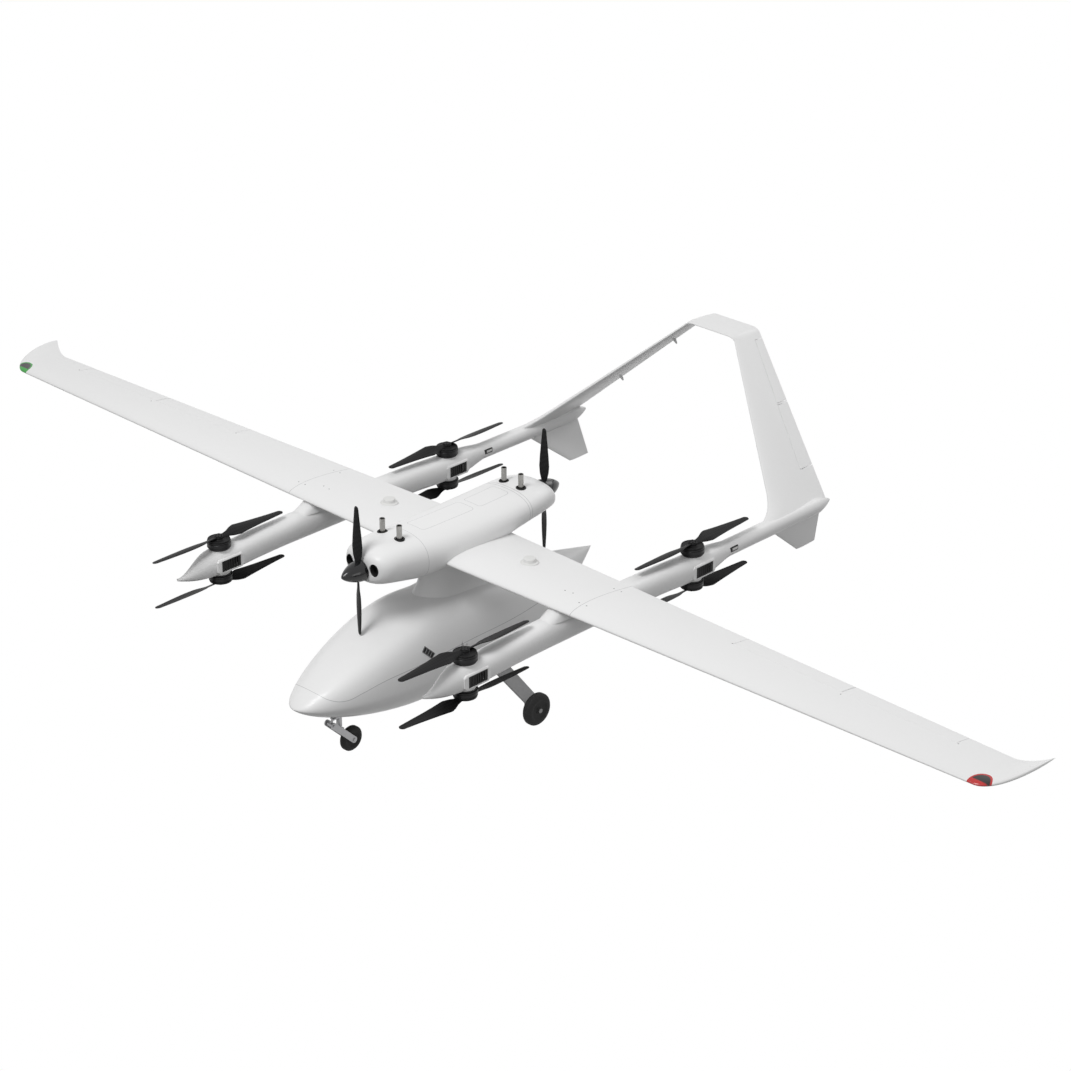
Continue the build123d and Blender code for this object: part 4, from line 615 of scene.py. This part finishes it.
def lift_propeller(place, hub, up, hand):
    """Two blades, their hub plate and its bolts."""
    node = f"lift_propeller_{place}"
    radius = (high(node)[1] - low(node)[1]) / 2
    skins = [blade(hub, (0, sign, 0), up, radius, LIFT_ROWS, LIFT_PITCH, hand) for sign in (1, -1)]
    skins.append(turned(HUB_OUTLINE, hub, up, 64))
    for out in directions(BOLTS, math.pi / 4):
        skins.append(turned(BOLT_OUTLINE, hub + BOLT_CIRCLE * out, up, 16))
    piece(f"propeller_{place}", skins, f"lift_rotor_{place}", "carbon_black", replaces=[node])


def motor_bell(place, hub, up):
    """Turning motor case with ribs on its top."""
    pad = hub - MOTOR_STACK * up
    foot = pad + RIB_FOOT * up
    skins = [turned(BELL_OUTLINE, pad, up, 64)]
    for out in directions(RIBS):
        beside = np.cross(up, out)
        (near, near_half), (far, far_half) = RIB_IN, RIB_OUT
        corners = [foot + out * near - beside * near_half, foot + out * far - beside * far_half,
                   foot + out * far + beside * far_half, foot + out * near + beside * near_half]
        skins.append(slab(corners, up, RIB_HEIGHT, RIB_EDGE))
    piece(f"bell_{place}", skins, f"lift_rotor_{place}", "motor_black", sharp=0.5,
          replaces=[f"motor_bell_{place}"])


for end, way in ENDS.items():
    for name, side in SIDES.items():
        for level, up_sign in (("upper", 1), ("lower", -1)):
            place = f"{end}_{name}_{level}"
            hub = np.array(joint(f"lift_spin_{place}")["pos_m"])
            up = np.array((0.0, 0.0, up_sign))
            lift_propeller(place, hub, up, side * way)
            motor_bell(place, hub, up)

# ---------------------------------------------------------------- engine propellers and spinners
BLADE_SEAT = 0.017  # spinner's base to the blades' middle
ENGINE_HUB_OUTLINE = (
    (-0.2, 0.0), (-0.2, 0.008), (0.0, 0.008), (0.0, 0.028), (0.014, 0.028), (0.014, 0.0),
)
BASE_RING = 0.0056  # how far the spinner's base ring reaches forward
NOSE_BELLY, NOSE_SHOULDER, NOSE_POINT = 0.42, 0.9, 0.42


def spinner_outline(radius, length):
    """Base ring, then a pointed nose along a cubic Bezier curve: its two inner points lie at the belly's
    and the shoulder's shares of the length, and at the full radius and the point's share of it."""
    outline = [(0.0, 0.0), (0.0, radius - 0.0015), (0.001, radius), (0.0035, radius),
               (0.004, radius - 0.001), (0.0048, radius - 0.001), (0.0053, radius)]
    t = np.linspace(0.02, 1, 40)
    early, late = 3 * (1 - t) ** 2 * t, 3 * (1 - t) * t**2
    along = (early * NOSE_BELLY + late * NOSE_SHOULDER + t**3) * length
    across = ((1 - t) ** 3 + early + late * NOSE_POINT) * radius
    return outline + list(zip(np.maximum(along, BASE_RING), across))


for end, way in ENDS.items():
    body = f"{end}_engine_rotor"
    hub = np.array(joint(f"{end}_engine_spin")["pos_m"])
    outward = np.array((0.0, way, 0.0))
    radius = (high(f"{end}_propeller")[2] - low(f"{end}_propeller")[2]) / 2
    spinner_low, spinner_high = low(f"{end}_spinner"), high(f"{end}_spinner")
    base = np.array((hub[0], spinner_high[1] if way < 0 else spinner_low[1], hub[2]))
    outline = spinner_outline((spinner_high[0] - spinner_low[0]) / 2, spinner_high[1] - spinner_low[1])
    piece(f"spinner_{end}", [turned(outline, base, outward, 72)], body, "spinner_black",
          replaces=[f"{end}_spinner"])
    seat = base + outward * BLADE_SEAT
    skins = [blade(seat, (0, 0, sign), outward, radius, ENGINE_ROWS, ENGINE_PITCH, 1) for sign in (1, -1)]
    skins.append(turned(ENGINE_HUB_OUTLINE, seat, outward, 32))
    piece(f"engine_propeller_{end}", skins, body, "carbon_black", replaces=[f"{end}_propeller"])

# ---------------------------------------------------------------- exhausts and antennas
GROMMET_RADIUS = 0.024  # a stack's middle to the edge of its hole's rubber
COLLAR_RADIUS, COLLAR_THICKNESS, COLLAR_PROBE = 0.0205, 0.0038, 0.0225
LIP_RISE = 0.0012
LIP_OUTLINE = (
    (-0.06, 0.0104), (0.0005, 0.0104), (LIP_RISE, 0.0112), (LIP_RISE, 0.0122), (0.0, 0.0128),
    (-0.0008, 0.0128), (-0.006, 0.0128), (-0.0066, 0.0126), (-0.06, 0.0126),
)
ABOVE_COWLS = 1.2

cowl_tree = tree_of("front_cowl", "rear_cowl", "exhaust_stacks")
stack_low, stack_high = low("exhaust_stacks"), high("exhaust_stacks")
pipe_x = stack_high[0] - GROMMET_RADIUS
pipe_y = {"front": stack_low[1] + GROMMET_RADIUS, "rear": stack_high[1] - GROMMET_RADIUS}
for end in ENDS:
    collars, lips = [], []
    for side in SIDES.values():
        centre = np.array((side * pipe_x, pipe_y[end], 0.0))
        probes = centre + (0, 0, ABOVE_COWLS) + COLLAR_PROBE * directions(12)
        rim = [cowl_tree.ray_cast(Vector(probe), Vector((0, 0, -1)))[0].z for probe in probes]
        collar_centre = centre + (0, 0, float(np.mean(rim)))
        collars.append(hoop(collar_centre, (0, 0, 1), COLLAR_RADIUS, COLLAR_THICKNESS))
        lips.append(turned(LIP_OUTLINE, centre + (0, 0, stack_high[2] - LIP_RISE), (0, 0, 1), 40))
    piece(f"exhaust_collars_{end}", collars, "airframe", "vent_black", sharp=1.2)
    piece(f"exhaust_lips_{end}", lips, "airframe", "exhaust_steel")

pod_low, pod_high = low("gps_antennas"), high("gps_antennas")
pod_radius = (pod_high[1] - pod_low[1]) / 2
pod_outline = (
    (-0.045, pod_radius), (-0.0225, pod_radius), (-0.0205, pod_radius - 0.0006),
    (-0.0193, pod_radius - 0.003), (-0.0188, pod_radius - 0.008), (-0.018, 0.0315), (-0.0165, 0.0287),
    (-0.0145, 0.028), (-0.004, 0.028), (-0.0018, 0.0272), (-0.0005, 0.0255), (0.0, 0.022), (0.0, 0.0),
)
pod_y = (pod_low[1] + pod_high[1]) / 2
skins = [
    turned(pod_outline, (side * (pod_high[0] - pod_radius), pod_y, pod_high[2]), (0, 0, 1), 64)
    for side in SIDES.values()
]
piece("antenna_pods", skins, "airframe", "antenna_white", sharp=0.9, replaces=["gps_antennas"])

# ---------------------------------------------------------------- wheels
SHALLOW_GROOVE = 0.0012


def tyre_outline(half, reach, bore):
    """Outline across a wheel, from its outer face at the bore to its tread and back."""
    outer = [(-half, bore + 0.0005), (-half, bore + 0.008), (-half + 0.004, bore + 0.011),
             (-half + 0.0045, reach * 0.52), (-half + 0.002, reach * 0.58), (-half + 0.0005, reach * 0.62),
             (-half, reach * 0.70), (-half + 0.0005, reach * 0.80), (-half + 0.003, reach * 0.90),
             (-half + 0.008, reach * 0.965), (-half * 0.45, reach * 0.995), (-half * 0.32, reach),
             (-half * 0.30, reach - SHALLOW_GROOVE), (-half * 0.22, reach - SHALLOW_GROOVE),
             (-half * 0.20, reach)]
    return outer + [(-along, radius) for along, radius in reversed(outer)]


for node, bore in (("main_wheel_left", 0.006), ("main_wheel_right", 0.006), ("nose_wheel", 0.005)):
    half, _, reach = (high(node) - low(node)) / 2
    skins = [turned(tyre_outline(half, reach, bore), middle(node), (1, 0, 0), 96)]
    piece(f"{node}_tyre", skins, node, "tyre_black", replaces=[node])

# ---------------------------------------------------------------- vents
# Louvred vents of the booms: half sizes of the opening, its height, how far it lies aft of the lift
# shaft and out from the boom's middle, and the end and edge widths of the raised surround.
LOUVRE_HALF_LENGTH, LOUVRE_HALF_HEIGHT, LOUVRE_Z, LOUVRE_AFT, LOUVRE_FACE = 0.056, 0.027, 0.694, 0.016, 0.062
SURROUND_END, SURROUND_EDGE, SURROUND_CORNER = 0.02, 0.008, 0.012
SURROUND_SLOPE = 0.3  # share of the surround's width that its bevel leaves flat
SURROUND_ROOT, SURROUND_LOWER, SURROUND_UPPER = -0.016, -0.0012, 0.002
SLATS, FIRST_SLAT, SLAT_PITCH, SLAT_HALF_HEIGHT, SLAT_THICKNESS = 7, -0.044, 0.0125, 0.022, 0.0012
# Inner and outer edge of a slat: distance in from the face and distance aft of the slat's place.
SLAT_INNER, SLAT_OUTER = (0.004, -0.0045), (0.0015, 0.001)


def louvre_surround(face_x, centre_y, flank):
    """Eight-cornered frame: its outline from the root to the face, a bevel in to the top, and the
    opening's edge back to the root."""
    wide, tall = LOUVRE_HALF_LENGTH + SURROUND_END, LOUVRE_HALF_HEIGHT + SURROUND_EDGE
    cut = SURROUND_CORNER
    outer = np.array(
        [(-wide, -tall + cut), (-wide + cut, -tall), (wide - cut, -tall), (wide, -tall + cut),
         (wide, tall - cut), (wide - cut, tall), (-wide + cut, tall), (-wide, tall - cut),
         (-wide, -tall + cut)])
    inner = np.copysign((LOUVRE_HALF_LENGTH, LOUVRE_HALF_HEIGHT), outer)
    top = inner + (outer - inner) * SURROUND_SLOPE
    rings = ((SURROUND_ROOT, outer), (SURROUND_LOWER, outer), (SURROUND_UPPER, top),
             (SURROUND_UPPER, inner), (SURROUND_ROOT, inner))
    return np.stack(
        [np.insert(ring + (centre_y, LOUVRE_Z), 0, face_x + flank * out, axis=1) for out, ring in rings], 1
    )


def louvre_slats(face_x, centre_y, flank):
    """Upright slats that lean aft towards the face."""
    foot, top = LOUVRE_Z - SLAT_HALF_HEIGHT, LOUVRE_Z + SLAT_HALF_HEIGHT
    (deep, deep_y), (shallow, shallow_y) = SLAT_INNER, SLAT_OUTER
    slats = []
    for k in range(SLATS):
        y = centre_y + FIRST_SLAT + k * SLAT_PITCH
        corners = [(face_x - flank * deep, y + deep_y, foot), (face_x - flank * shallow, y + shallow_y, foot),
                   (face_x - flank * shallow, y + shallow_y, top), (face_x - flank * deep, y + deep_y, top)]
        slats.append(slab(corners, (flank, 0, 0), SLAT_THICKNESS))
    return slats


surrounds, slats = [], []
for end in ENDS:
    for name in SIDES:
        shaft_x, shaft_y, _ = joint(f"lift_spin_{end}_{name}_upper")["pos_m"]
        for flank in (1, -1):
            vent = (shaft_x + flank * LOUVRE_FACE, shaft_y + LOUVRE_AFT, flank)
            surrounds.append(louvre_surround(*vent))
            slats += louvre_slats(*vent)
piece("vent_surrounds", surrounds, "airframe", "white_skin", sharp=0.2)
piece("vent_slats", slats, "airframe", "vent_black", sharp=0.3)

# Small framed windows at the booms' tail ends, and the pale pane set off the middle of each.
BOOM_X = joint("lift_spin_front_left_upper")["pos_m"][0]
WINDOW_Y, WINDOW_Z, WINDOW_FACE = 0.5615, 0.713, 0.0405
WINDOW_HALF_LENGTH, WINDOW_HALF_HEIGHT, WINDOW_ROOT = 0.026, 0.011, 0.008
PANE = ((-0.5, -0.5), (0.86, -0.5), (0.86, 0.55), (-0.5, 0.55))  # shares of the window's half sizes
frames, panes = [], []
for side in SIDES.values():
    for flank in (1, -1):
        face_x = side * BOOM_X + flank * WINDOW_FACE
        frame_corners = [
            (face_x - flank * WINDOW_ROOT, WINDOW_Y + u, WINDOW_Z + w)
            for u, w in rectangle(WINDOW_HALF_LENGTH, WINDOW_HALF_HEIGHT)
        ]
        frames.append(slab(frame_corners, (flank, 0, 0), WINDOW_ROOT + 0.0008, 0.0008))
        pane_corners = [
            (face_x, WINDOW_Y + u * WINDOW_HALF_LENGTH, WINDOW_Z + w * WINDOW_HALF_HEIGHT) for u, w in PANE
        ]
        panes.append(slab(pane_corners, (flank, 0, 0), 0.0016, 0.0004))
piece("boom_window_frames", frames, "airframe", "vent_black", sharp=0.3)
piece("boom_window_panes", panes, "airframe", "antenna_white", sharp=0.3)

# Ladder of slats over each flank vent, laid on the skin and leaning forward.
VENT_Y, VENT_Z, VENT_LEAN = -0.7835, 0.46, math.radians(45)
BESIDE_FUSELAGE = 0.5
SINK = 0.001  # depth of the plates in the skin
LADDER_START = -0.036
RAILS, RAIL_WIDTH, RAIL_STEPS, RAIL_STEP = (-0.0145, 0.0115), 0.003, 4, 0.018
RUNG_HALF_LENGTH, RUNG_WIDTH, RUNGS, RUNG_PITCH = 0.0115, 0.003, 5, 0.01725
RAIL_LIFT, RUNG_LIFT, PLATE_EDGE = 0.0024, 0.0018, 0.0003
cover_tree = tree_of("fuselage_cover", "cooling_vents")


def on_flank(side, along, across):
    """Point on the fuselage's flank at a distance down the ladder and across it, and the skin's normal."""
    y = VENT_Y + along * math.sin(VENT_LEAN) + across * math.cos(VENT_LEAN)
    z = VENT_Z - along * math.cos(VENT_LEAN) + across * math.sin(VENT_LEAN)
    start = Vector((side * BESIDE_FUSELAGE, y, z))
    hit, normal, _, _ = cover_tree.ray_cast(start, Vector((-side, 0, 0)))
    return np.array(hit), np.array(normal if normal.x * side > 0 else -normal)


def strip(side, along, across, lift):
    """Thin plate laid on the flank between two distances down the ladder and two across it."""
    spots = [on_flank(side, along[i], across[j]) for i, j in ((0, 0), (1, 0), (1, 1), (0, 1))]
    out = sum(normal for _, normal in spots) / 4
    return slab([spot - out * SINK for spot, _ in spots], out, lift + SINK, PLATE_EDGE)


rails, rungs = [], []
for side in SIDES.values():
    for across in RAILS:
        for k in range(RAIL_STEPS):
            top = LADDER_START + RAIL_STEP * k
            rails.append(strip(side, (top, top + RAIL_STEP), (across, across + RAIL_WIDTH), RAIL_LIFT))
    for k in range(RUNGS):
        top = LADDER_START + RUNG_PITCH * k
        rungs.append(strip(side, (top, top + RUNG_WIDTH), (-RUNG_HALF_LENGTH, RUNG_HALF_LENGTH), RUNG_LIFT))
piece("flank_vent_rails", rails, "airframe", "leg_grey", sharp=0.3)
piece("flank_vent_rungs", rungs, "airframe", "leg_grey", sharp=0.3)

# Black oval ducts inside the two cooling intakes of the front cowl, turned and then narrowed.
DUCT_X, DUCT_Z, DUCT_HALF_WIDTH, DUCT_HALF_HEIGHT, DUCT_DEPTH = 0.076, 0.884, 0.025, 0.03, 0.03
DUCT_SET_BACK = 0.004
DUCT_OUTLINE = (
    (0.0, DUCT_HALF_HEIGHT - 0.0012), (0.001, DUCT_HALF_HEIGHT - 0.0004),
    (DUCT_DEPTH, DUCT_HALF_HEIGHT - 0.0004), (DUCT_DEPTH, 0.0), (DUCT_DEPTH - 0.001, 0.0),
    (DUCT_DEPTH - 0.001, DUCT_HALF_HEIGHT - 0.002), (0.001, DUCT_HALF_HEIGHT - 0.002),
    (0.0, DUCT_HALF_HEIGHT - 0.0012),
)
ducts = []
for side in SIDES.values():
    centre = np.array((side * DUCT_X, low("front_cowl")[1] + DUCT_SET_BACK, DUCT_Z))
    duct = turned(DUCT_OUTLINE, centre, (0, 1, 0))
    duct[:, :, 0] = centre[0] + (duct[:, :, 0] - centre[0]) * DUCT_HALF_WIDTH / DUCT_HALF_HEIGHT
    ducts.append(duct)
piece("intake_ducts", ducts, "airframe", "vent_black")

# Screw heads on the wing's panel joints: distance out and place aft of each.
SCREWS = (
    (0.756, -0.4795), (0.799, -0.4745), (0.878, -0.52), (0.878, -0.30), (0.922, -0.52), (0.922, -0.30),
    (2.19, -0.368), (1.585, -0.335), (2.775, -0.36),
)
SCREW_OUTLINE = (
    (-0.001, 0.0), (-0.001, 0.0032), (0.0002, 0.0032), (0.0004, 0.0028), (0.0004, 0.0014),
    (-0.0002, 0.0013), (-0.0002, 0.0),
)
ABOVE_WING = 1.0
wing_tree = tree_of(
    "wing_centre_section", "outer_wing_left", "outer_wing_right", "nav_light_left", "nav_light_right"
)
screws = []
for side in SIDES.values():
    for out, aft in SCREWS:
        hit, normal, _, _ = wing_tree.ray_cast(Vector((side * out, aft, ABOVE_WING)), Vector((0, 0, -1)))
        screws.append(turned(SCREW_OUTLINE, np.array(hit), np.array(normal), 20))
piece("wing_screws", screws, "airframe", "pin_steel")

# ---------------------------------------------------------------- light, sky and camera
# The sky glows from below to above. Only the camera, gloss and glass see the white backdrop.
SKY_BELOW, SKY_ABOVE, SKY_STRENGTH = (0.16, 0.16, 0.16, 1), (1, 1, 1, 1), 0.56
SKY_START, SKY_END = -0.7, 0.9

scene = bpy.context.scene
scene.view_settings.view_transform = "Standard"
world = bpy.data.worlds.new("sky")
scene.world = world
world.use_nodes = True
world.node_tree.nodes.clear()
n = Nodes(world.node_tree)
height = n.axes(n.new("ShaderNodeTexCoord").outputs["Generated"])[2]
glow = n.ramp(height, SKY_START, SKY_END)
ambient = n.new("ShaderNodeBackground")
n.feed(ambient.inputs["Color"], n.mix(glow, SKY_BELOW, SKY_ABOVE))
ambient.inputs["Strength"].default_value = SKY_STRENGTH
backdrop = n.new("ShaderNodeBackground")
backdrop.inputs["Color"].default_value = (1, 1, 1, 1)
rays = n.new("ShaderNodeLightPath").outputs
seen = n.math("MAXIMUM", rays["Is Camera Ray"], rays["Is Glossy Ray"])
both = n.new("ShaderNodeMixShader")
n.feed(both.inputs[0], n.math("MAXIMUM", seen, rays["Is Transmission Ray"]))
n.feed(both.inputs[1], ambient.outputs[0])
n.feed(both.inputs[2], backdrop.outputs[0])
n.feed(n.new("ShaderNodeOutputWorld").inputs[0], both.outputs[0])


def lamp(name, place, target, size, power):
    """Soft square lamp aimed at a point."""
    data = bpy.data.lights.new(name, "AREA")
    data.shape, data.size, data.energy = "SQUARE", size, power
    made = bpy.data.objects.new(name, data)
    made.location = place
    made.rotation_euler = (Vector(target) - Vector(place)).to_track_quat("-Z", "Y").to_euler()
    scene.collection.objects.link(made)


lamp("key", (0.2, -6.0, 8.6), (0, -0.2, 0.7), 3.2, 475)
lamp("rear", (1.0, 9.0, 7.0), (0, 0, 0.7), 5.0, 170)
lamp("side", (9.0, -1.5, 1.4), (0, 0.4, 0.8), 3.5, 60)

EYE = (8.70336, -8.86422, 6.61604)
AZIMUTH, ELEVATION = math.radians(44.10), math.radians(25.48)
SENSOR_WIDTH, FOCAL_LENGTH = 36, 100.336

camera_data = bpy.data.cameras.new("camera")
camera = bpy.data.objects.new("camera", camera_data)
scene.collection.objects.link(camera)
scene.camera = camera
camera.location = EYE
level = math.cos(ELEVATION)
back = Vector((math.sin(AZIMUTH) * level, -math.cos(AZIMUTH) * level, math.sin(ELEVATION)))
camera.rotation_euler = (-back).to_track_quat("-Z", "Y").to_euler()
camera_data.sensor_width = SENSOR_WIDTH
camera_data.lens = FOCAL_LENGTH
camera_data.clip_start, camera_data.clip_end = 0.5, 100
